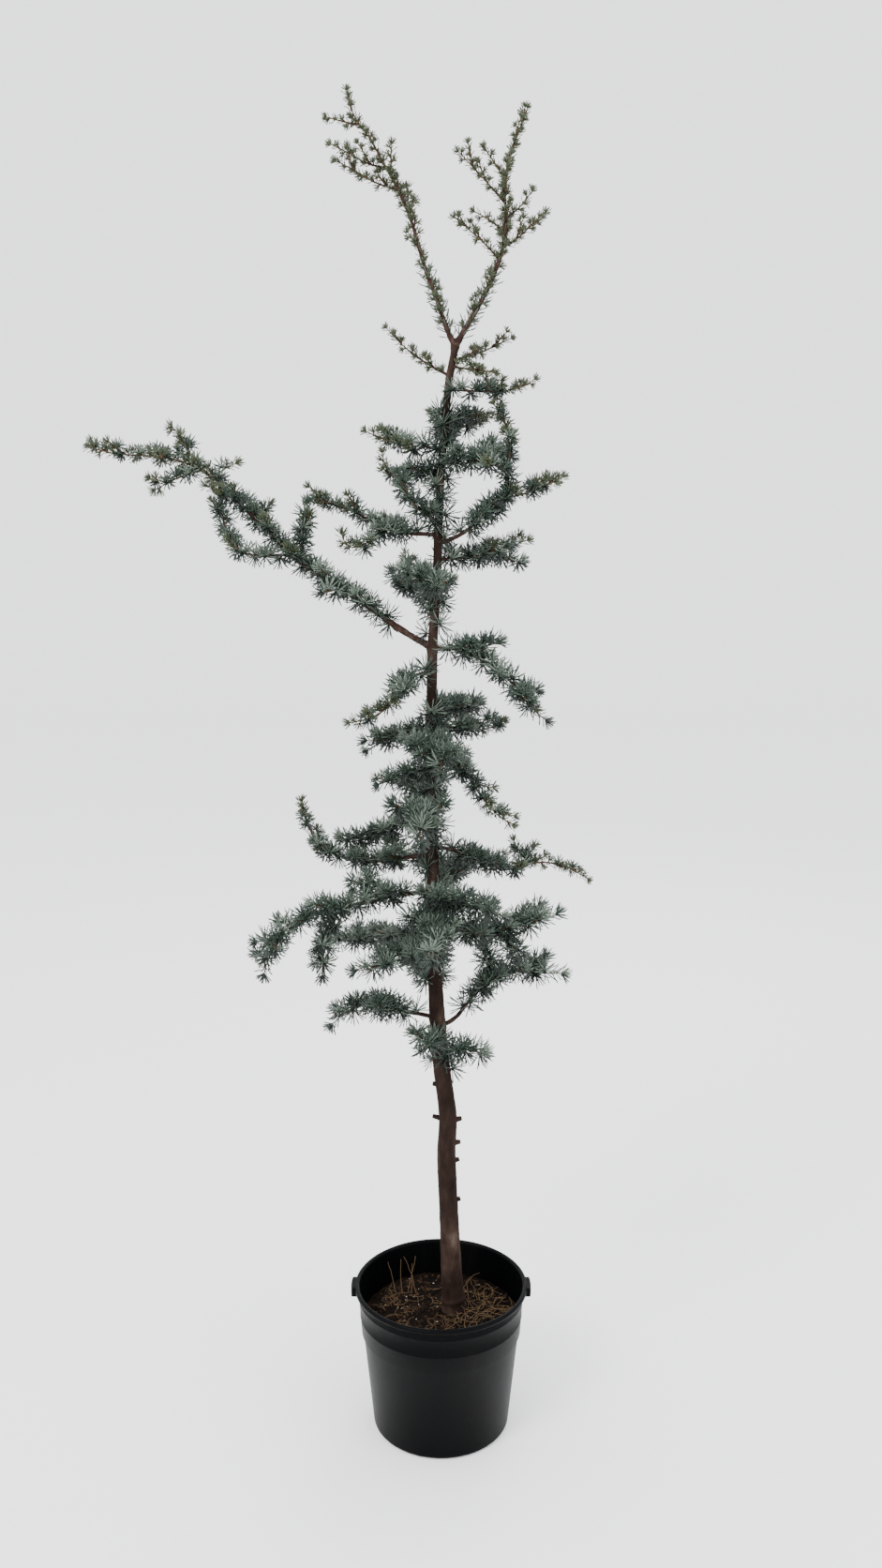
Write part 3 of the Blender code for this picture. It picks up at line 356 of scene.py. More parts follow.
LIMBS = (
    Limb("leader_right", 1.580, (20, -20), 0.318, (58, 58, 62, 68, 85, 95, 80, 65, 80),
         0.060, 0.0042, (0.015, 0.011), 0, (
        Twig(0.126, (190, 170), 0.080, (50, 40, 40)),
        Twig(0.143, (-20, 10), 0.070, (20, 45, 40)),
        Twig(0.163, (160, 190), 0.048, (40, 25)),
        Twig(0.180, (20, 0), 0.050, (30, 60)),
        Twig(0.198, (200, 170), 0.088, (45, 45, 45)),
        Twig(0.226, (170, 200), 0.049, (60, 50)),
        Twig(0.148, (95, 80), 0.060, (35, 50)),
        Twig(0.203, (-85, -95), 0.050, (40, 55)))),
    Limb("leader_left", 1.580, (165, 195), 0.348, (60, 72, 67, 75, 70, 60, 60, 50, 85),
         0.060, 0.0038, (0.015, 0.011), 0, (
        Twig(0.160, (350, 10), 0.037, (70, 70)),
        Twig(0.213, (165, 200), 0.088, (10, 30, 20)),
        Twig(0.243, (195, 165), 0.078, (0, 30, 25)),
        Twig(0.303, (175, 190), 0.044, (10, 15)),
        Twig(0.188, (80, 100), 0.060, (30, 45)),
        Twig(0.228, (-95, -80), 0.050, (30, 50)))),
    Limb("right_1", 1.562, (50, 10), 0.100, (15, 15, 25, 25), 0, 0.0018, (0.015, 0.011), 0, ()),
    Limb("right_2", 1.554, (-50, -40), 0.080, (-10, -10), 0, 0.0016, (0.015, 0.011), 0, ()),
    Limb("right_3", 1.526, (-30, 0), 0.122, (-10, -5, 5, 35), 0, 0.0020, (0.019, 0.012), 0, (
        Twig(0.062, (170, 170), 0.026, (70, 50)),)),
    Limb("right_4", 1.495, (50, 30), 0.092, (-10, 0, 0, 0), 0, 0.0018, (0.021, 0.014), 0, ()),
    Limb("right_5", 1.426, (-50, -40), 0.120, (10, 5, -15, -10), 0, 0.0020, (0.024, 0.020), 0, (
        Twig(0.045, (30, 10), 0.055, (15, 20)),)),
    Limb("right_6", 1.323, (-25, 5), 0.195, (10, 30, 55, 10, 20, 30), 0.045, 0.0030, (0.025, 0.015), 1, (
        Twig(0.118, (170, 150), 0.140, (85, 95, 75, 75)),)),
    Limb("right_7", 1.300, (40, 20), 0.150, (5, 0, 20, 15), 0, 0.0022, (0.024, 0.017), 1, (
        Twig(0.090, (-20, 10), 0.045, (-25, 0)),)),
    Limb("right_8", 1.179, (-35, -10), 0.200, (10, -15, -30, -55, -35),
         0.035, 0.0030, (0.026, 0.020), 1, ()),
    Limb("right_9", 1.070, (40, 20), 0.120, (-5, -10, -5, 35), 0, 0.0020, (0.025, 0.015), 1, ()),
    Limb("right_10", 1.026, (-45, -20), 0.162, (5, -15, -55, -45, -20), 0, 0.0022, (0.025, 0.015), 1, ()),
    Limb("right_11", 0.898, (25, -10), 0.242, (-5, -25, -25, 20, -15, -35),
         0.040, 0.0030, (0.026, 0.013), 1, ()),
    Limb("right_12", 0.813, (-60, -40), 0.150, (10, 15, 5, -10), 0, 0.0026, (0.027, 0.024), 1, ()),
    Limb("right_13", 0.787, (-30, 0), 0.185, (0, -10, 15, 15, 25), 0.040, 0.0030, (0.028, 0.024), 1, (
        Twig(0.105, (10, 10), 0.045, (-70, -60)),)),
    Limb("right_14", 0.631, (30, -10), 0.212, (-5, 50, 45, 15, -5, 0), 0.060, 0.0036, (0.028, 0.024), 1, (
        Twig(0.110, (150, 120), 0.050, (70, 45)),)),
    Limb("right_15", 0.594, (-45, -35), 0.082, (20, 20, 0, 5), 0, 0.0020, (0.028, 0.025), 0, ()),
    Limb("left_1", 1.542, (150, 175), 0.112, (25, 30, 40, 50), 0, 0.0018, (0.016, 0.011), 0, ()),
    Limb("left_2", 1.448, (215, 190), 0.112, (5, 0, 15, 25), 0, 0.0020, (0.024, 0.014), 1, ()),
    Limb("left_3", 1.418, (135, 160), 0.122, (-5, 5, -25, 45, 90), 0, 0.0020, (0.024, 0.014), 0, ()),
    Limb("left_4", 1.350, (235, 210), 0.102, (25, 20, 55, 65), 0, 0.0020, (0.024, 0.020), 0, ()),
    Limb("left_5", 1.334, (155, 185), 0.192, (0, 5, 30, 20, 0), 0.040, 0.0028, (0.025, 0.014), 1, (
        Twig(0.079, (200, 180), 0.080, (-60, -35, 5, 90)),)),
    Limb("left_6", 1.181, (178, 186), 0.545, (25, 35, 35, 30, 45, 45, 45, 15, 0, 20),
         0.080, 0.0048, (0.024, 0.015), 0, (
        Twig(0.150, (250, 230), 0.045, (-10, 0)),
        Twig(0.180, (100, 125), 0.055, (15, 20)),
        Twig(0.216, (0, 0), 0.080, (85, 80, 80)),
        Twig(0.228, (195, 165), 0.152, (5, -5, 15, 60, 85, 75)),
        Twig(0.290, (110, 130), 0.060, (25, 40)),
        Twig(0.335, (240, 225), 0.055, (10, 25)),
        Twig(0.376, (20, 10), 0.036, (45, 20)),
        Twig(0.393, (170, 190), 0.070, (-5, -25, -30)),
        Twig(0.403, (180, 180), 0.060, (70, 65, 40)),
        Twig(0.445, (115, 140), 0.045, (10, 25)))),
    Limb("left_7", 1.148, (225, 200), 0.152, (0, -20, -60, -20, -5), 0, 0.0024, (0.025, 0.016), 1, ()),
    Limb("left_8", 1.070, (140, 165), 0.112, (-15, -20, -20, -30), 0, 0.0020, (0.025, 0.020), 1, ()),
    Limb("left_9", 1.008, (230, 205), 0.092, (0, 5, -15, -15), 0, 0.0020, (0.025, 0.020), 0, ()),
    Limb("left_10", 0.942, (130, 155), 0.162, (-10, -20, -30, -30), 0, 0.0024, (0.026, 0.022), 1, ()),
    Limb("left_11", 0.886, (150, 180), 0.252, (-5, -15, -10, 5, 30, 70, 80),
         0.040, 0.0032, (0.027, 0.016), 1, ()),
    Limb("left_12", 0.835, (210, 185), 0.292, (0, 0, -10, -5, -20, -60, -75),
         0.050, 0.0034, (0.025, 0.022), 1, (
        Twig(0.143, (180, 180), 0.100, (-75, -65, -80, -90)),)),
    Limb("left_13", 0.764, (130, 160), 0.212, (-15, -15, -5, -15), 0, 0.0028, (0.027, 0.022), 1, ()),
    Limb("left_14", 0.750, (235, 205), 0.142, (10, 5, -20, 5), 0, 0.0024, (0.027, 0.024), 1, ()),
    Limb("left_15", 0.642, (160, 195), 0.165, (10, 5, 15, 5, -30, -45),
         0.040, 0.0032, (0.027, 0.024), 1, ()),
    Limb("front_1", 1.258, (-100, -80), 0.105, (20, 5, -10), 0, 0.0020, (0.026, 0.020), 1, ()),
    Limb("front_2", 1.050, (-75, -95), 0.140, (10, -10, -25), 0, 0.0024, (0.026, 0.021), 1, ()),
    Limb("front_3", 0.950, (-105, -85), 0.160, (15, -5, -20), 0, 0.0026, (0.027, 0.022), 1, ()),
    Limb("front_4", 0.800, (-80, -100), 0.175, (10, -5, -20), 0, 0.0027, (0.028, 0.023), 1, ()),
    Limb("front_5", 0.612, (-100, -110), 0.090, (20, 0), 0, 0.0022, (0.028, 0.025), 0, ()),
    Limb("back_1", 1.460, (80, 100), 0.140, (20, 10, 25), 0, 0.0022, (0.022, 0.014), 1, ()),
    Limb("back_2", 1.240, (110, 95), 0.225, (15, 10, 20, 30), 0, 0.0028, (0.025, 0.015), 1, ()),
    Limb("back_3", 1.090, (65, 80), 0.190, (5, -10, -20), 0, 0.0026, (0.026, 0.017), 1, ()),
    Limb("back_4", 0.965, (100, 85), 0.240, (5, -5, 0, 15), 0, 0.0029, (0.026, 0.017), 1, ()),
    Limb("back_5", 0.845, (70, 95), 0.260, (0, -10, -5, 10), 0, 0.0031, (0.027, 0.019), 1, ()),
    Limb("back_6", 0.690, (110, 90), 0.220, (10, 0, 5, -10), 0, 0.0030, (0.028, 0.023), 1, ()),
)


# Growth rule of the limbs


def smooth_at(table, where):
    """Values of a table at one place along its first column, on a smooth curve through its rows."""
    places = [row[0] for row in table]
    where = min(max(where, places[0]), places[-1])
    index = min(max(np.searchsorted(places, where) - 1, 0), len(table) - 2)
    before, low = np.array(table[max(index - 1, 0)]), np.array(table[index])
    high, after = np.array(table[index + 1]), np.array(table[min(index + 2, len(table) - 1)])
    share = (where - low[0]) / (high[0] - low[0])
    low_slope = (high - before) / max(high[0] - before[0], WELD) * (high[0] - low[0])
    high_slope = (after - low) / max(after[0] - low[0], WELD) * (high[0] - low[0])
    cube, square = share**3, share**2
    value = (2 * cube - 3 * square + 1) * low + (cube - 2 * square + share) * low_slope
    value = value + (3 * square - 2 * cube) * high + (cube - square) * high_slope
    return value[1:]


def trunk_point(height):
    lean_x, lean_y, _ = smooth_at(TRUNK, height)
    return Vector((lean_x, lean_y, height))


def trunk_radius(height):
    return float(smooth_at(TRUNK, height)[2])


def limb_path(start, headings, length, rises):
    """Points along a limb, each a short step on from the last in the heading and slope that hold there."""
    count = max(2, round(length / PATH_STEP))
    points = [start.copy()]
    slopes_at = np.linspace(0, 1, len(rises))
    for number in range(count):
        share = (number + 0.5) / count
        rise = math.radians(np.interp(share, slopes_at, rises))
        heading = math.radians(headings[0] + (headings[1] - headings[0]) * share)
        level = math.cos(rise)
        direction = Vector((level * math.cos(heading), level * math.sin(heading), math.sin(rise)))
        points.append(points[-1] + direction * (length / count))
    return points


def along(path, distance):
    """The point and the direction at a distance along a path of even steps."""
    step = (path[1] - path[0]).length
    index = min(int(distance / step), len(path) - 2)
    direction = (path[index + 1] - path[index]).normalized()
    return path[index] + direction * (distance - index * step), direction


def path_length(path):
    return (path[1] - path[0]).length * (len(path) - 1)


def shoot_list(limb, path):
    """The limb's named side twigs, and the short side shoots that a long limb grows by rule."""
    twigs = list(limb.twigs)
    if not limb.shoots:
        return twigs
    chance = random.Random(limb.name)
    side = chance.choice((-1, 1))
    at = max(SHOOT_FIRST, limb.bare + SHOOT_END / 2)
    while at < limb.length - SHOOT_END:
        _, direction = along(path, at)
        heading = math.degrees(math.atan2(direction.y, direction.x)) + side * chance.uniform(*SHOOT_ANGLE)
        rise = math.degrees(math.asin(direction.z)) * SHOOT_FOLLOWS + chance.uniform(*SHOOT_RISE)
        usual = SHOOT_LENGTH * (SHOOT_LONGEST - SHOOT_FALL * at / limb.length)
        length = usual * chance.uniform(*SHOOT_SPREAD)
        twigs.append(Twig(at, (heading, heading - side * SHOOT_BEND), length, (rise, rise + SHOOT_LIFT)))
        side = -side
        at += SHOOT_EVERY * chance.uniform(*SHOOT_SPACING)
    return twigs


def limb_radius(limb, distance):
    """A limb tapers evenly to its tip, and flares where it leaves the trunk."""
    taper = limb.radius + (TWIG_TIP_RADIUS - limb.radius) * distance / limb.length
    flare = max(0.0, 1 - distance / BOUGH_FLARE_LENGTH) ** 2
    return taper * (1 + (BOUGH_FLARE - 1) * flare)


# Meshes made from arrays


class Heap:
    """Points and triangles of many small shapes, joined into one mesh."""

    def __init__(self):
        self.points, self.faces, self.count = [], [], 0

    def add(self, points, faces):
        self.points.append(np.asarray(points, np.float32))
        self.faces.append(np.asarray(faces, np.int32) + self.count)
        self.count += len(points)

    def mesh(self, name):
        points, faces = np.concatenate(self.points), np.concatenate(self.faces)
        mesh = bpy.data.meshes.new(name)
        mesh.vertices.add(len(points))
        mesh.vertices.foreach_set("co", points.ravel())
        mesh.loops.add(faces.size)
        mesh.loops.foreach_set("vertex_index", faces.ravel())
        mesh.polygons.add(len(faces))
        mesh.polygons.foreach_set("loop_start", np.arange(0, faces.size, 3, dtype=np.int32))
        mesh.update(calc_edges=True)
        mesh.validate()
        mesh.shade_smooth()
        return mesh


def unit(vectors):
    return vectors / np.maximum(np.linalg.norm(vectors, axis=-1, keepdims=True), SMALLEST)


def sweep(path, radii, sides):
    """Rings of points round a path, with the frames that they stand in carried along without a twist."""
    path, radii = np.asarray(path, float), np.asarray(radii, float)
    tangents = unit(np.gradient(path, axis=0))
    side = unit(np.cross(tangents[0], FIRST_ACROSS))
    across = []
    for tangent in tangents:
        side = unit(side - tangent * side.dot(tangent))
        across.append(side)
    across = np.array(across)
    over = np.cross(tangents, across)
    turns = np.linspace(0, 2 * math.pi, sides, endpoint=False)[None, :, None]
    spokes = np.cos(turns) * across[:, None] + np.sin(turns) * over[:, None]
    return path[:, None] + radii[:, None, None] * spokes


def skin(rings):
    """Triangles between rings of points, with a point to close each end."""
    count, sides = rings.shape[:2]
    points = np.concatenate([rings.reshape(-1, 3), rings[:1].mean(1), rings[-1:].mean(1)])
    ring, side = np.meshgrid(np.arange(count - 1), np.arange(sides), indexing="ij")
    a, b = ring * sides + side, ring * sides + (side + 1) % sides
    c, d = b + sides, a + sides
    faces = [np.stack([a, b, c], -1).reshape(-1, 3), np.stack([a, c, d], -1).reshape(-1, 3)]
    first = np.arange(sides)
    after = (first + 1) % sides
    last = (count - 1) * sides
    faces.append(np.stack([after, first, np.full(sides, count * sides)], -1))
    faces.append(np.stack([first + last, after + last, np.full(sides, count * sides + 1)], -1))
    return points, np.concatenate(faces)


def needle_mesh(feet, ways, lengths, width):
    """Slim three-sided needles with a slight upward bend, as points and triangles."""
    helper = np.where(np.abs(ways[:, 2:]) > NEEDLE_STEEP, (1.0, 0.0, 0.0), (0.0, 0.0, 1.0))
    across = unit(np.cross(ways, helper))
    over = np.cross(ways, across)
    turns = np.radians(NEEDLE_SIDES)[None, :, None]
    ring = (np.cos(turns) * across[:, None] + np.sin(turns) * over[:, None]) * width / 2
    reach = lengths[:, None]
    lift = np.array((0.0, 0.0, NEEDLE_BEND))
    foot = feet[:, None] + ring * NEEDLE_FOOT
    middle = (feet + ways * reach * NEEDLE_FULL)[:, None] + ring
    tip = (feet + ways * reach + lift * reach)[:, None]
    points = np.concatenate([foot, middle, tip], 1)
    faces = NEEDLE_FACES[None] + NEEDLE_POINTS * np.arange(len(feet))[:, None, None]
    return points.reshape(-1, 3), faces.reshape(-1, 3)


TRUNK_HEIGHTS = np.linspace(TRUNK_FOOT, TRUNK_TOP, TRUNK_SAMPLES)
TRUNK_SHAPE = np.array([smooth_at(TRUNK, height) for height in TRUNK_HEIGHTS])


def clear_of_trunk(points):
    """Which points lie outside the trunk."""
    heights = points[:, 2]
    x, y, radius = (np.interp(heights, TRUNK_HEIGHTS, TRUNK_SHAPE[:, column]) for column in range(3))
    return (heights > TRUNK_TOP) | (np.hypot(points[:, 0] - x, points[:, 1] - y) > radius + TRUNK_CLEARANCE)


class Sprays:
    """Needles gathered by colour. A spray has one colour, and its needles that point down take a darker
    colour, painted shade.
    """

    def __init__(self):
        self.kinds = {}

    def add(self, kind, feet, ways, lengths):
        tips = feet + ways * lengths[:, None]
        kept = clear_of_trunk(tips)
        under = kept & (ways[:, 2] < SHADE_BELOW)
        upper = kept & ~under
        # needles that point down take the painted shade colour, except on young shoots
        low_kind = "young" if kind == "young" else "shaded"
        for name, chosen in ((kind, upper), (low_kind, under)):
            if chosen.any():
                self.kinds.setdefault(name, []).append((feet[chosen], ways[chosen], lengths[chosen]))

    def meshes(self):
        """Points and triangles of each colour, in heaps that keep to the limit of a piece."""
        for kind, parts in sorted(self.kinds.items()):
            feet, ways, lengths = (np.concatenate([part[column] for part in parts]) for column in range(3))
            for number, start in enumerate(range(0, len(feet), MOST_NEEDLES)):
                chosen = slice(start, start + MOST_NEEDLES)
                width = YOUNG_NEEDLE_WIDTH if kind == "young" else NEEDLE_WIDTH
                heap = Heap()
                heap.add(*needle_mesh(feet[chosen], ways[chosen], lengths[chosen], width))
                yield kind, number, heap


# The plant


def fan(axis, count, narrow, wide, chance):
    """Directions spread evenly round an axis, between two angles from it."""
    axis = Vector(axis).normalized()
    across = axis.orthogonal().normalized()
    over = axis.cross(across)
    ways = []
    turn = chance.uniform(0, 360)
    for number in range(count):
        share = (number + 0.5) / count
        strays = chance.uniform(-FAN_STRAYS, FAN_STRAYS)
        tilt = math.radians(narrow + (wide - narrow) * share**FAN_CROWDING + strays)
        turn_strays = chance.uniform(-FAN_TURN_STRAYS, FAN_TURN_STRAYS)
        angle = math.radians(turn + GOLDEN_TURN * number + turn_strays)
        level = across * math.cos(angle) + over * math.sin(angle)
        ways.append(axis * math.cos(tilt) + level * math.sin(tilt))
    return np.array(ways)


def outward(forward, turn):
    """The direction square to a twig at a turn round it."""
    across = forward.orthogonal().normalized()
    over = forward.cross(across)
    angle = math.radians(turn)
    return across * math.cos(angle) + over * math.sin(angle)


def spray_kind(chance):
    return chance.choices(SPRAY_KINDS, SPRAY_SHARES)[0]


def add_spur(wood, foot, tip, swell, narrow):
    """A spur shoot's wood, with its width at the waist and at the tip as shares of that at its foot."""
    radii = [SPUR_RADIUS, SPUR_RADIUS * swell, SPUR_RADIUS * narrow]
    wood.add(*skin(sweep([foot, foot.lerp(tip, SPUR_WAIST), tip], radii, SPUR_SIDES)))


def add_rosette(sprays, wood, foot, out, reach, chance):
    """A spur shoot and the whorl of needles that it carries."""
    tip = foot + out * SPUR_LENGTH
    add_spur(wood, foot, tip, SPUR_SWELL, SPUR_TIP)
    count = chance.randint(*SPUR_NEEDLES)
    ways = fan(out, count, *ROSETTE_ANGLES, chance)
    feet = np.array(tip) + ways * SPUR_RADIUS * ROSETTE_FOOT - np.array(out) * ROSETTE_SINK
    lengths = reach * np.array([chance.uniform(*ROSETTE_UNEVEN) for _ in range(count)])
    sprays.add(spray_kind(chance), feet, ways, lengths)


def add_tuft(sprays, point, forward, reach, kind, chance, count=TUFT_NEEDLES):
    """The tight tuft of needles round a bud at a shoot's tip."""
    ways = fan(forward, count, *TUFT_ANGLES, chance)
    feet = np.array(point) + ways * TUFT_FOOT
    lengths = reach * np.array([chance.uniform(*TUFT_UNEVEN) for _ in range(count)])
    sprays.add(kind, feet, ways, lengths)


def add_brush(sprays, path, begin, end, radius, reach, kind, chance):
    """Single needles that stand forward along a young shoot."""
    feet, ways, lengths = [], [], []
    turn = chance.uniform(0, 360)
    for place in np.arange(begin, end, BRUSH_EVERY):
        point, forward = along(path, place)
        out = outward(forward, turn)
        lean = math.radians(chance.uniform(*BRUSH_ANGLES))
        way = (out * math.sin(lean) + forward * math.cos(lean) + Vector((0, 0, BRUSH_UP))).normalized()
        feet.append(point + out * radius * BRUSH_FOOT)
        ways.append(way)
        lengths.append(reach(place) * chance.uniform(*BRUSH_UNEVEN))
        turn += GOLDEN_TURN
    if feet:
        sprays.add(kind, np.array(feet), np.array(ways), np.array(lengths))


def add_buds(sprays, wood, path, begin, end, radius, reach, kind, chance):
    """Small dense tufts on short spurs along a young shoot."""
    place = begin
    turn = chance.uniform(0, 360)
    while place < end:
        point, forward = along(path, place)
        out = (outward(forward, turn) + forward * BUD_FORWARD + Vector((0, 0, BUD_UP))).normalized()
        tip = point + out * (radius(place) + SPUR_LENGTH * BUD_SPUR)
        add_spur(wood, point, tip, 1, BUD_SPUR_TIP)
        add_tuft(sprays, tip - out * BUD_SINK, out, reach(place) * BUD_REACH, kind, chance, BUD_NEEDLES)
        turn += GOLDEN_TURN
        place += chance.uniform(*BUD_EVERY)


def dress_twig(sprays, wood, path, begin, end, radius, reach, young, chance):
    """Clothe a twig: whorls on spur shoots on its older wood, single needles and buds on its young end."""
    short_tip = reach(end) < YOUNG_NEEDLE
    kind = "young" if young or short_tip else spray_kind(chance)
    brush_from = begin if young else end - (end - begin) * (YOUNG_END if short_tip else OLD_END)
    place = begin
    turn = chance.uniform(0, 360)
    while place < brush_from:
        point, forward = along(path, place)
        across = forward.cross(Vector((0, 0, 1))).normalized()
        over = across.cross(forward)
        angle = math.radians(turn)
        out = across * math.cos(angle) + over * math.sin(angle)
        way = (out + Vector((0, 0, SPUR_UP)) + forward * SPUR_FORWARD).normalized()
        add_rosette(sprays, wood, point + way * radius(place) * SPUR_FOOT, way, reach(place), chance)
        turn += GOLDEN_TURN
        place += chance.uniform(*SPUR_EVERY)
    thick = radius(brush_from)
    add_brush(sprays, path, brush_from, end, thick, lambda where: reach(where) * BRUSH_REACH, kind, chance)
    if young or short_tip:
        add_buds(sprays, wood, path, brush_from, end - BUDS_END, radius, reach, kind, chance)
    point, forward = along(path, end)
    add_tuft(sprays, point, forward, reach(end) * TUFT_REACH, kind, chance)


def grow_wood(old_wood, young_wood, path, radius, split, sides, chance):
    """A limb's wood, with small swellings where needles have been, in its old and its young bark."""
    length = path_length(path)
    count = max(FEWEST_RINGS, round(length / WOOD_RING))
    places = np.linspace(0, length, count)
    points = np.array([along(path, place)[0] for place in places])
    knots = np.array([1 + chance.uniform(*KNOTS) for _ in places])
    radii = np.array([radius(place) for place in places]) * knots
    cut = min(max(FEWEST_END_RINGS[0], round(split * count)), count - FEWEST_END_RINGS[1])
    rings = sweep(points, radii, sides)
    old_wood.add(*skin(rings[: cut + 1]))
    young_wood.add(*skin(rings[cut:]))


def grow_twig(sprays, woods, path, reach, young, chance, fine=True):
    """A side twig with its needles, and finer shoots of its own."""
    old_wood, young_wood = woods
    length = path_length(path)

    def radius(place):
        return TWIG_RADIUS + (TWIG_TIP_RADIUS - TWIG_RADIUS) * place / length

    grow_wood(old_wood, young_wood, path, radius, TWIG_YOUNG_SHARE, TWIG_SIDES, chance)
    dress_twig(sprays, young_wood, path, TWIG_STANDOFF, length, radius, reach, young, chance)
    if fine:
        grow_fine(sprays, woods, path, FINE_TWIG_BEGIN, length, reach, young, chance)


def grow_fine(sprays, woods, path, begin, end, reach, young, chance):
    """Short shoots between the side twigs, alternating from side to side."""
    side = chance.choice((-1, 1))
    place = begin + chance.uniform(0, FINE_EVERY)
    while place < end - FINE_END:
        start, forward = along(path, place)
        heading = math.degrees(math.atan2(forward.y, forward.x)) + side * chance.uniform(*FINE_ANGLE)
        rise = math.degrees(math.asin(forward.z)) * FINE_FOLLOWS + chance.uniform(*FINE_RISE)
        length = chance.uniform(*FINE_LENGTH)
        fine_path = limb_path(start, (heading, heading - side * FINE_BEND), length, (rise, rise + FINE_LIFT))
        grow_twig(sprays, woods, fine_path,
                  lambda where: reach(place) * FINE_REACH, young, chance, fine=False)
        side = -side
        place += FINE_EVERY * chance.uniform(*FINE_SPACING)


def grow_limb(sprays, woods, limb):
    """A whole limb from the trunk's middle to its tip, with its side twigs."""
    old_wood, young_wood = woods
    chance = random.Random("needles " + limb.name)
    path = limb_path(trunk_point(limb.height), limb.headings, limb.length, limb.rises)
    young = limb.needle[0] < YOUNG_NEEDLE

    def radius(place):
        return limb_radius(limb, place)

    def reach(place):
        return limb.needle[0] + (limb.needle[1] - limb.needle[0]) * min(1.0, place / limb.length)

    grow_wood(old_wood, young_wood, path, radius, YOUNG_SHARE, LIMB_SIDES, chance)
    begin = limb.bare * BARE_DRESSED if limb.bare else trunk_radius(limb.height) + TRUNK_STANDOFF
    if limb.name.startswith("leader"):
        add_brush(sprays, path, LEADER_FOOT, LEADER_DRESSED, limb.radius,
                  lambda where: LEADER_REACH, "grey", chance)
        begin = LEADER_FOOT * 2
    dress_twig(sprays, young_wood, path, begin, limb.length, radius, reach, young, chance)
    grow_fine(sprays, woods, path, begin + FINE_BEGIN, limb.length, reach, young, chance)
    for twig in shoot_list(limb, path):
        start, _ = along(path, twig.at)
        twig_path = limb_path(start, twig.headings, twig.length, twig.rises)
        grow_twig(sprays, woods, twig_path,
                  lambda where: reach(twig.at + where * SHOOT_NEEDLE), young, chance)


def clothe_trunk(sprays, wood):
    """Spur shoots that stand on the trunk itself, between its limbs."""
    chance = random.Random("trunk spurs")
    heading = 0.0
    for low, high in TRUNK_SPUR_ZONES:
        height = low
        while height < high:
            turn = math.radians(heading)
            level = Vector((math.cos(turn), math.sin(turn), 0))
            out = (level + Vector((0, 0, chance.uniform(*TRUNK_SPUR_RISE)))).normalized()
            foot = trunk_point(height) + level * trunk_radius(height)
            reach = TRUNK_SPUR_REACH * chance.uniform(*TRUNK_SPUR_UNEVEN)
            add_rosette(sprays, wood, foot, out, reach, chance)
            heading += GOLDEN_TURN + chance.uniform(-TRUNK_SPUR_STRAYS, TRUNK_SPUR_STRAYS)
            height += chance.uniform(*TRUNK_SPUR_EVERY)


def bark_noise(x, y, height, closeness):
    around, upwards, _ = closeness
    return noise.noise((x * around, y * around, height * upwards))


def bark_relief(x, y, height):
    """How far the bark stands out at a place: lumps and bands, less the cracks that open as it ages."""
    age = min(1.0, max(0.0, (YOUNG_BARK_FROM - height) / AGEING_LENGTH))
    lumps = bark_noise(x, y, height, BARK_LUMPS) * BARK_LUMPS[2]
    bands = bark_noise(x, y, height, BARK_BANDS) * (BARK_BANDS[2] + OLD_BANDS * age)
    cracks = abs(bark_noise(x, y, height, BARK_CRACKS)) * BARK_CRACKS[2] * age
    return lumps + bands - cracks


def add_stubs(heap):
    """Dead stubs low on the trunk, each a short uneven peg from inside the bark."""
    chance = random.Random("stubs")
    wide, narrows = STUB_WIDENS
    places = np.linspace(*STUB_SPAN, STUB_RINGS)
    for height, heading, length in STUBS:
        turn = math.radians(heading)
        start = trunk_point(height)
        out = Vector((math.cos(turn), math.sin(turn), STUB_SLOPE)).normalized()
        reach = trunk_radius(height) + length * STUB_SHARE
        radii = [STUB_RADIUS * (wide - narrows * place) * chance.uniform(*STUB_UNEVEN) for place in places]
        heap.add(*skin(sweep([start + out * reach * place for place in places], radii, STUB_SIDES)))


def trunk_mesh():
    """The trunk with its stubs, swollen round the limbs' feet and in a ring at its own foot."""
    shares = np.linspace(0, 1, TRUNK_RINGS)
    heights = TRUNK_FOOT + (TRUNK_TOP - TRUNK_FOOT) * shares
    radii = [trunk_radius(height) * TRUNK_FULLNESS for height in heights]
    rings = sweep([trunk_point(height) for height in heights], radii, TRUNK_SIDES)
    centres = rings.mean(1, keepdims=True)
    spokes = rings - centres
    turns = np.arctan2(spokes[..., 1], spokes[..., 0])
    relief = np.zeros(rings.shape[:2])
    for limb in LIMBS:
        heading = math.radians(limb.headings[0])
        near = np.exp(-(((heights - limb.height) / SWELLING_SPREAD) ** 2))[:, None]
        facing = np.maximum(0, np.cos(turns - heading)) ** SWELLING_FOCUS
        relief += near * facing * limb.radius * SWELLING
    for ring, height in enumerate(heights):
        swell = FOOT_RING_SWELL * math.exp(-(((height - FOOT_RING) / FOOT_RING_SPREAD) ** 2))
        for side in range(TRUNK_SIDES):
            x, y, _ = spokes[ring, side] / np.linalg.norm(spokes[ring, side])
            relief[ring, side] += bark_relief(x, y, height) + swell
    grown = centres + spokes * (1 + relief / np.linalg.norm(spokes, axis=-1))[..., None]
    heap = Heap()
    heap.add(*skin(grown))
    add_stubs(heap)
    return heap.mesh("trunk_bark")


# Pot and soil


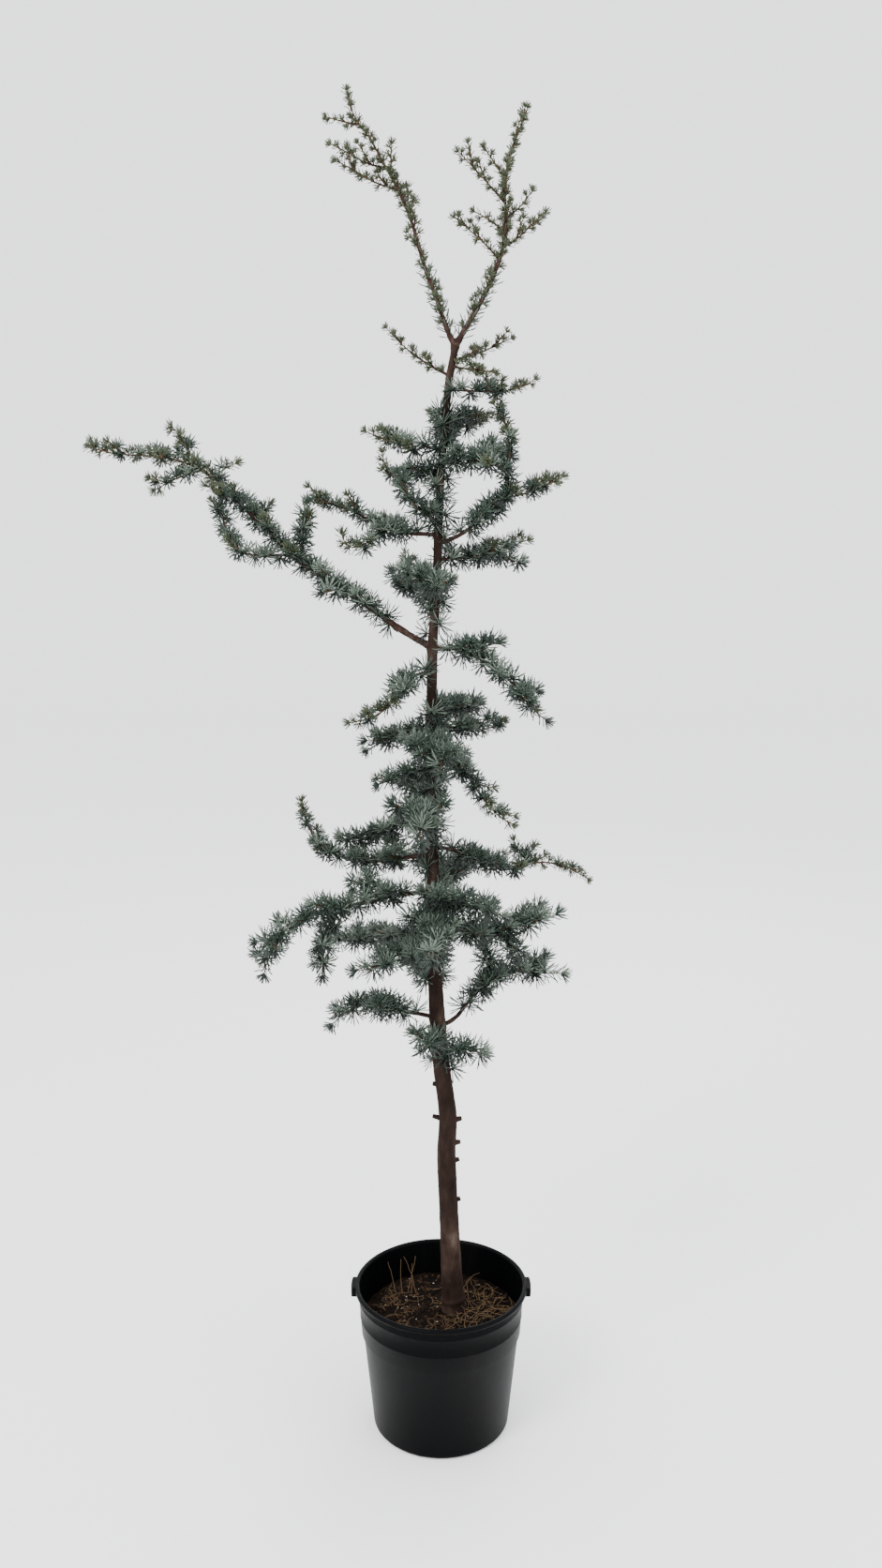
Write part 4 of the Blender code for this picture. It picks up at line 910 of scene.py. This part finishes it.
def turned(name, profile, steps):
    """A turned piece: a ring of edges extruded and resized along a profile, with both ends closed."""
    radius, height = profile[0]
    bpy.ops.mesh.primitive_circle_add(vertices=steps, radius=radius, location=(0, 0, 0))
    item = bpy.context.object
    item.name = name
    bpy.ops.object.mode_set(mode="EDIT")
    bpy.ops.mesh.select_mode(type="EDGE")
    bpy.ops.mesh.select_all(action="SELECT")
    bpy.ops.transform.translate(value=(0, 0, height))
    for wider, higher in profile[1:]:
        bpy.ops.mesh.extrude_edges_move(TRANSFORM_OT_translate={"value": (0, 0, higher - height)})
        bpy.ops.transform.resize(value=(wider / radius, wider / radius, 1), center_override=(0, 0, higher))
        radius, height = wider, higher
    bpy.ops.mesh.select_all(action="DESELECT")
    bpy.ops.mesh.select_non_manifold(extend=False)
    bpy.ops.mesh.fill_holes(sides=0)
    bpy.ops.mesh.select_all(action="SELECT")
    bpy.ops.mesh.normals_make_consistent(inside=False)
    bpy.ops.object.mode_set(mode="OBJECT")
    item.select_set(False)
    return item


def inner_radius(height):
    """Radius of the pot's inside, which follows the outside of its body and collar."""
    if height > COLLAR_FOOT:
        share = (height - COLLAR_FOOT) / (POT_HEIGHT - COLLAR_FOOT)
        return BODY_TOP_RADIUS - WALL + (COLLAR_TOP_RADIUS - BODY_TOP_RADIUS) * share
    return BASE_RADIUS - WALL + (BODY_TOP_RADIUS - BASE_RADIUS) * height / COLLAR_FOOT


def collar_radius(height):
    """Outside radius of the collar."""
    foot = COLLAR_FOOT + COLLAR_STEP
    share = (height - foot) / (POT_HEIGHT - RIM_HEIGHT - foot)
    return COLLAR_FOOT_RADIUS + (COLLAR_TOP_RADIUS - COLLAR_FOOT_RADIUS) * share


def build_pot():
    """The pot: tapering body on a rounded foot, stepped collar with two moulded rings, and a rolled rim."""
    profile = [(POT_CENTRE, 0.0)]
    for turn in range(90, -1, -FOOT_TURN):
        angle = math.radians(turn)
        radius = BASE_RADIUS - FOOT_ROUNDING * (1 - math.cos(angle))
        profile.append((radius, FOOT_ROUNDING * (1 - math.sin(angle))))
    profile += [(BODY_TOP_RADIUS, COLLAR_FOOT), (COLLAR_FOOT_RADIUS, COLLAR_FOOT + COLLAR_STEP)]
    crest = ((-MOULDING_CREST, MOULDING), (MOULDING_CREST, MOULDING))
    for height in MOULDING_RINGS:
        for offset, swell in ((-MOULDING_FOOT, 0), *crest, (MOULDING_FOOT, 0)):
            profile.append((collar_radius(height + offset) + swell, height + offset))
    under = POT_HEIGHT - RIM_HEIGHT
    profile.append((COLLAR_TOP_RADIUS, under))
    middle = (RIM_RADIUS + COLLAR_TOP_RADIUS - WALL) / 2
    half = RIM_RADIUS - middle
    lip = RIM_HEIGHT / 2
    for turn in range(*RIM_TURNS):
        angle = math.radians(turn)
        profile.append((middle + half * math.cos(angle), under + lip + lip * math.sin(angle)))
    profile += [(inner_radius(under), under), (inner_radius(COLLAR_FOOT), COLLAR_FOOT)]
    profile += [(inner_radius(FOOT_ROUNDING), FOOT_ROUNDING), (POT_CENTRE, FLOOR)]
    pot = turned("pot_shell", profile, POT_STEPS)
    pot.data.shade_smooth()
    pot.data.set_sharp_from_angle(angle=math.radians(POT_SHARP_ANGLE))
    return pot


def build_lug(name, side):
    """A lifting lug beside the rim: a box with rounded edges, curved with the rim."""
    deep = LUG_DEPTH + LUG_ROOT
    centre = RIM_RADIUS + LUG_DEPTH - deep / 2
    bpy.ops.mesh.primitive_cube_add(size=1, location=(0, 0, 0))
    lug = bpy.context.object
    lug.name = name
    bpy.ops.object.mode_set(mode="EDIT")
    bpy.ops.transform.resize(value=(deep, LUG_WIDTH, LUG_HEIGHT))
    bpy.ops.mesh.subdivide(number_cuts=LUG_CUTS)
    bpy.ops.transform.translate(value=(centre * side, 0, POT_HEIGHT - LUG_HEIGHT / 2 - LUG_DROP))
    bpy.ops.object.mode_set(mode="OBJECT")
    for vertex in lug.data.vertices:
        vertex.co.x -= side * vertex.co.y**2 / (2 * RIM_RADIUS)
    bevel = lug.modifiers.new("edges", "BEVEL")
    bevel.width = LUG_ROUNDING
    bevel.segments = LUG_ROUNDING_STEPS
    bevel.limit_method = "ANGLE"
    bevel.angle_limit = math.radians(LUG_SHARP_ANGLE)
    bpy.ops.object.modifier_apply(modifier="edges")
    lug.data.shade_smooth()
    lug.select_set(False)
    return lug


def lump(x, y, closeness):
    crowd, slice_height = closeness
    return noise.noise((x * crowd, y * crowd, slice_height))


def soil_height(x, y):
    """Height of the soil's surface: a low mound with lumps of two sizes."""
    share = min(1.0, max(0.0, (math.hypot(x, y) - SOIL_FLAT_RADIUS) / SOIL_SLOPE_LENGTH))
    drop = SOIL_EDGE_DROP * share**SOIL_SLOPE_CURVE
    lumps = lump(x, y, LARGE_LUMP_PLACE) + SMALL_LUMP * lump(x, y, SMALL_LUMP_PLACE)
    return SOIL_TOP - SOIL_SINK - drop + SOIL_LUMP * lumps


def build_soil():
    """The soil's top, drawn as rings that close at the middle, with a skirt down the pot's inside."""
    edge = SOIL_TOP - SOIL_EDGE_DROP
    widest = inner_radius(edge) - SOIL_CLEARANCE
    profile = [(widest * SKIRT_TAPER, edge - SKIRT_DEPTH), (widest, edge)]
    for share in np.linspace(*SOIL_SPAN, SOIL_RINGS):
        profile.append((widest * (1 - share) + SOIL_MIDDLE, SOIL_TOP))
    soil = turned("soil_bed", profile, SOIL_SIDES)
    for vertex in soil.data.vertices:
        if vertex.co.z > edge - SKIRT_DEPTH / 2:
            vertex.co.z = soil_height(vertex.co.x, vertex.co.y)
    soil.data.shade_smooth()
    return soil


def anywhere(chance):
    """A place on the soil that keeps off the wall."""
    radius = LITTER_REACH * math.sqrt(chance.random())
    turn = chance.uniform(0, 2 * math.pi)
    return radius * math.cos(turn), radius * math.sin(turn)


def scatter(name, count, sizes, chance):
    """Small rough lumps strewn on the soil, as one mesh."""
    heap = Heap()
    for _ in range(count):
        x, y = anywhere(chance)
        size = chance.uniform(*sizes)
        jitter = np.array([[chance.uniform(*CRUMB_JITTER) for _ in range(3)] for _ in CRUMB_CORNERS])
        turn = chance.uniform(0, 2 * math.pi)
        cosine = math.cos(turn)
        sine = math.sin(turn)
        spin = np.array([(cosine, -sine, 0), (sine, cosine, 0), (0, 0, 1)])
        lump_size = (size, size * chance.uniform(*CRUMB_NARROW), size * CRUMB_FLAT)
        points = (CRUMB_CORNERS * jitter * lump_size) @ spin.T
        heap.add(points + (x, y, soil_height(x, y) + size * CRUMB_RISE), CRUMB_FACES)
    mesh = heap.mesh(name)
    mesh.shade_flat()
    return mesh


def strand(heap, start, heading, length, shape, chance, lift=ROOT_LIFT):
    """A dead root or stem that winds over the soil, or stands up from it. shape: slope, curl and radius."""
    rise, curl, radius = shape
    points = [Vector((start[0], start[1], soil_height(*start) + lift))]
    for _ in range(ROOT_STEPS):
        heading += chance.uniform(-curl, curl)
        turn = math.radians(heading)
        slope = math.radians(rise + chance.uniform(-ROOT_WAVE, ROOT_WAVE))
        way = Vector((math.cos(turn) * math.cos(slope), math.sin(turn) * math.cos(slope), math.sin(slope)))
        after = points[-1] + way * length / ROOT_STEPS
        if math.hypot(after.x, after.y) > LITTER_REACH:
            break
        after.z = max(after.z, soil_height(after.x, after.y) + radius)
        points.append(after)
    if len(points) > ROOT_FEWEST:
        heap.add(*skin(sweep(points, np.linspace(radius, radius * ROOT_TIP, len(points)), ROOT_SIDES)))


def litter_mesh():
    """Curly dead roots, the longer ones right of the trunk, and dead stems that stand on its left."""
    heap = Heap()
    chance = random.Random("litter")
    for count, across, deep, lengths, *shape in ROOTS:
        for _ in range(count):
            start = (chance.uniform(*across), chance.uniform(*deep))
            strand(heap, start, chance.uniform(0, 360), chance.uniform(*lengths), shape, chance)
    for x, heading in DEAD_STEMS:
        length = chance.uniform(*DEAD_STEM_LENGTH)
        strand(heap, (x, DEAD_STEM_BACK), heading, length, DEAD_STEM_SHAPE, chance, lift=DEAD_STEM_LIFT)
    return heap.mesh("litter")


# Materials: colour stops, size of the patches, their stretch, roughness, relief, size of the grain
FINISHES = {
    "black_pot_plastic": (
        ((0.30, (0.0006, 0.0007, 0.0010)), (0.62, (0.0011, 0.0012, 0.0015)), (0.80, (0.005, 0.0045, 0.004))),
        9, (1.0, 1.0, 0.28), 0.42, 0.10, 260),
    "potting_soil": (
        ((0.32, (0.003, 0.002, 0.002)), (0.55, (0.009, 0.006, 0.004)), (0.75, (0.028, 0.017, 0.010))),
        55, (1, 1, 1), 0.95, 0.9, 420),
    "old_bark": (
        ((0.28, (0.006, 0.004, 0.003)), (0.48, (0.017, 0.010, 0.008)), (0.62, (0.033, 0.021, 0.016)),
         (0.78, (0.075, 0.055, 0.044))),
        42, (1.0, 1.0, 0.45), 0.85, 0.55, 300),
    "bough_bark": (
        ((0.30, (0.013, 0.007, 0.006)), (0.52, (0.030, 0.017, 0.014)), (0.75, (0.065, 0.042, 0.031))),
        120, (1, 1, 1), 0.75, 0.4, 600),
    "shoot_bark": (
        ((0.30, (0.032, 0.019, 0.011)), (0.55, (0.060, 0.038, 0.021)), (0.80, (0.105, 0.075, 0.042))),
        160, (1, 1, 1), 0.65, 0.3, 700),
}
SHINE = 0.04
PATCH_DETAIL = 9
GRAIN_DETAIL = 6
RELIEF_DEPTH = 0.001


def principled(name, roughness, shine=SHINE):
    material = bpy.data.materials.new(name)
    material.use_nodes = True
    shader = material.node_tree.nodes["Principled BSDF"]
    shader.inputs["Roughness"].default_value = roughness
    shader.inputs["Specular IOR Level"].default_value = shine
    return material, shader


def plain(name, colour, roughness, shine=SHINE):
    """A plain base colour, for small pieces joined by the thousand."""
    material, shader = principled(name, roughness, shine)
    shader.inputs["Base Color"].default_value = (*colour, 1.0)
    return material


def patterned(name, stops, scale, stretch, roughness, bump, grain):
    """Two sizes of noise on Object coordinates: the large one gives the colour, the small one the relief."""
    material, shader = principled(name, roughness)
    nodes, links = material.node_tree.nodes, material.node_tree.links
    coordinates = nodes.new("ShaderNodeTexCoord")
    mapping = nodes.new("ShaderNodeMapping")
    mapping.inputs["Scale"].default_value = stretch
    links.new(coordinates.outputs["Object"], mapping.inputs["Vector"])
    patches = nodes.new("ShaderNodeTexNoise")
    patches.inputs["Scale"].default_value = scale
    patches.inputs["Detail"].default_value = PATCH_DETAIL
    links.new(mapping.outputs["Vector"], patches.inputs["Vector"])
    ramp = nodes.new("ShaderNodeValToRGB")
    for element, (position, colour) in zip(ramp.color_ramp.elements, (stops[0], stops[-1])):
        element.position = position
        element.color = (*colour, 1)
    for position, colour in stops[1:-1]:
        ramp.color_ramp.elements.new(position).color = (*colour, 1)
    links.new(patches.outputs["Fac"], ramp.inputs["Fac"])
    links.new(ramp.outputs["Color"], shader.inputs["Base Color"])
    fine = nodes.new("ShaderNodeTexNoise")
    fine.inputs["Scale"].default_value = grain
    fine.inputs["Detail"].default_value = GRAIN_DETAIL
    links.new(mapping.outputs["Vector"], fine.inputs["Vector"])
    relief = nodes.new("ShaderNodeBump")
    relief.inputs["Strength"].default_value = bump
    relief.inputs["Distance"].default_value = RELIEF_DEPTH
    links.new(fine.outputs["Fac"], relief.inputs["Height"])
    links.new(relief.outputs["Normal"], shader.inputs["Normal"])
    return material


def place_piece(item, nodes):
    """Attach a finished piece to the root body, and hide the solids that it stands for."""
    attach(item, "root")
    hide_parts(*nodes)


def add_piece(mesh, material, nodes):
    item = bpy.data.objects.new(mesh.name, mesh)
    bpy.context.scene.collection.objects.link(item)
    mesh.materials.append(material)
    place_piece(item, nodes)


def add_light(name, place, aim_height, size, power, colour):
    bpy.ops.object.light_add(type="AREA", location=place)
    light = bpy.context.object
    light.name = name
    light.data.shape = "DISK"
    light.data.size = size
    light.data.energy = power
    light.data.color = colour
    light.rotation_euler = (Vector((0, 0, aim_height)) - Vector(place)).to_track_quat("-Z", "Y").to_euler()
    light.select_set(False)


def set_stage():
    """Pale floor that curves up behind, soft light from all sides, and the photograph's camera."""
    bpy.ops.mesh.primitive_plane_add(size=FLOOR_SIZE, location=(0, 0, 0))
    floor = bpy.context.object
    floor.name = "floor"
    bpy.ops.object.mode_set(mode="EDIT")
    bpy.ops.mesh.select_mode(type="EDGE")
    bpy.ops.mesh.select_all(action="DESELECT")
    bpy.ops.object.mode_set(mode="OBJECT")
    for edge in floor.data.edges:
        edge.select = all(floor.data.vertices[corner].co.y > 0 for corner in edge.vertices)
    bpy.ops.object.mode_set(mode="EDIT")
    for step in range(BACKDROP_STEPS):
        slope = math.radians(90 * (step + 0.5) / BACKDROP_STEPS)
        move = (0, BACKDROP_STEP * math.cos(slope), BACKDROP_STEP * math.sin(slope))
        bpy.ops.mesh.extrude_edges_move(TRANSFORM_OT_translate={"value": move})
    bpy.ops.mesh.extrude_edges_move(TRANSFORM_OT_translate={"value": (0, 0, FLOOR_SIZE)})
    bpy.ops.object.mode_set(mode="OBJECT")
    floor.data.shade_smooth()
    floor.data.materials.append(plain("pale_floor", FLOOR_COLOUR, FLOOR_ROUGHNESS))
    floor.select_set(False)
    world = bpy.data.worlds.new("soft_sky")
    bpy.context.scene.world = world
    world.use_nodes = True
    sky = world.node_tree.nodes["Background"]
    sky.inputs["Color"].default_value = SKY_COLOUR
    sky.inputs["Strength"].default_value = SKY_STRENGTH
    for light in LIGHTS:
        add_light(*light)
    camera = bpy.data.objects.new("camera", bpy.data.cameras.new("camera"))
    bpy.context.scene.collection.objects.link(camera)
    camera.location = CAMERA_PLACE
    camera.rotation_euler = (math.radians(90 - CAMERA_TILT), 0, 0)
    camera.data.sensor_width = SENSOR
    camera.data.lens = FOCAL_PIXELS / PHOTO_HEIGHT * SENSOR
    bpy.context.scene.camera = camera


def add_pot(plastic):
    pot = build_pot()
    pot.data.materials.append(plastic)
    place_piece(pot, ["pot"])
    for name, side in (("lug_right", 1), ("lug_left", -1)):
        lug = build_lug(name, side)
        lug.data.materials.append(plastic)
        place_piece(lug, ["pot"])


def add_soil(earth):
    """The soil with its crumbs, chips, grit and dead roots."""
    soil = build_soil()
    soil.data.materials.append(earth)
    place_piece(soil, ["soil"])
    chance = random.Random("crumbs")
    for name, count, sizes, colour, roughness in CRUMBS:
        strewn = scatter(name, count, sizes, chance)
        add_piece(strewn, plain(name, colour, roughness), ["soil"])
    add_piece(litter_mesh(), plain("dead_roots", ROOT_COLOUR, ROOT_ROUGHNESS), ["soil"])


def add_tree(finishes):
    """Trunk, boughs, twigs, and needles in pieces of one colour each."""
    nodes = list(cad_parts)
    boughs = [name for name in nodes if name.startswith("bough_")]
    masses = [name for name in nodes if name.startswith("foliage_")]
    add_piece(trunk_mesh(), finishes["old_bark"], ["trunk"])
    sprays, old_wood, young_wood = Sprays(), Heap(), Heap()
    for limb in LIMBS:
        grow_limb(sprays, (old_wood, young_wood), limb)
    clothe_trunk(sprays, young_wood)
    add_piece(old_wood.mesh("bough_wood"), finishes["bough_bark"], boughs)
    add_piece(young_wood.mesh("shoot_wood"), finishes["shoot_bark"], masses)
    for kind, number, heap in sprays.meshes():
        material = bpy.data.materials.get("needles_" + kind)
        if material is None:
            material = plain("needles_" + kind, NEEDLE_COLOURS[kind], NEEDLE_ROUGHNESS, NEEDLE_SHINE)
        add_piece(heap.mesh(f"needles_{kind}_{number + 1}"), material, masses)


def main():
    finishes = {name: patterned(name, *values) for name, values in FINISHES.items()}
    add_pot(finishes["black_pot_plastic"])
    add_soil(finishes["potting_soil"])
    add_tree(finishes)
    set_stage()


main()
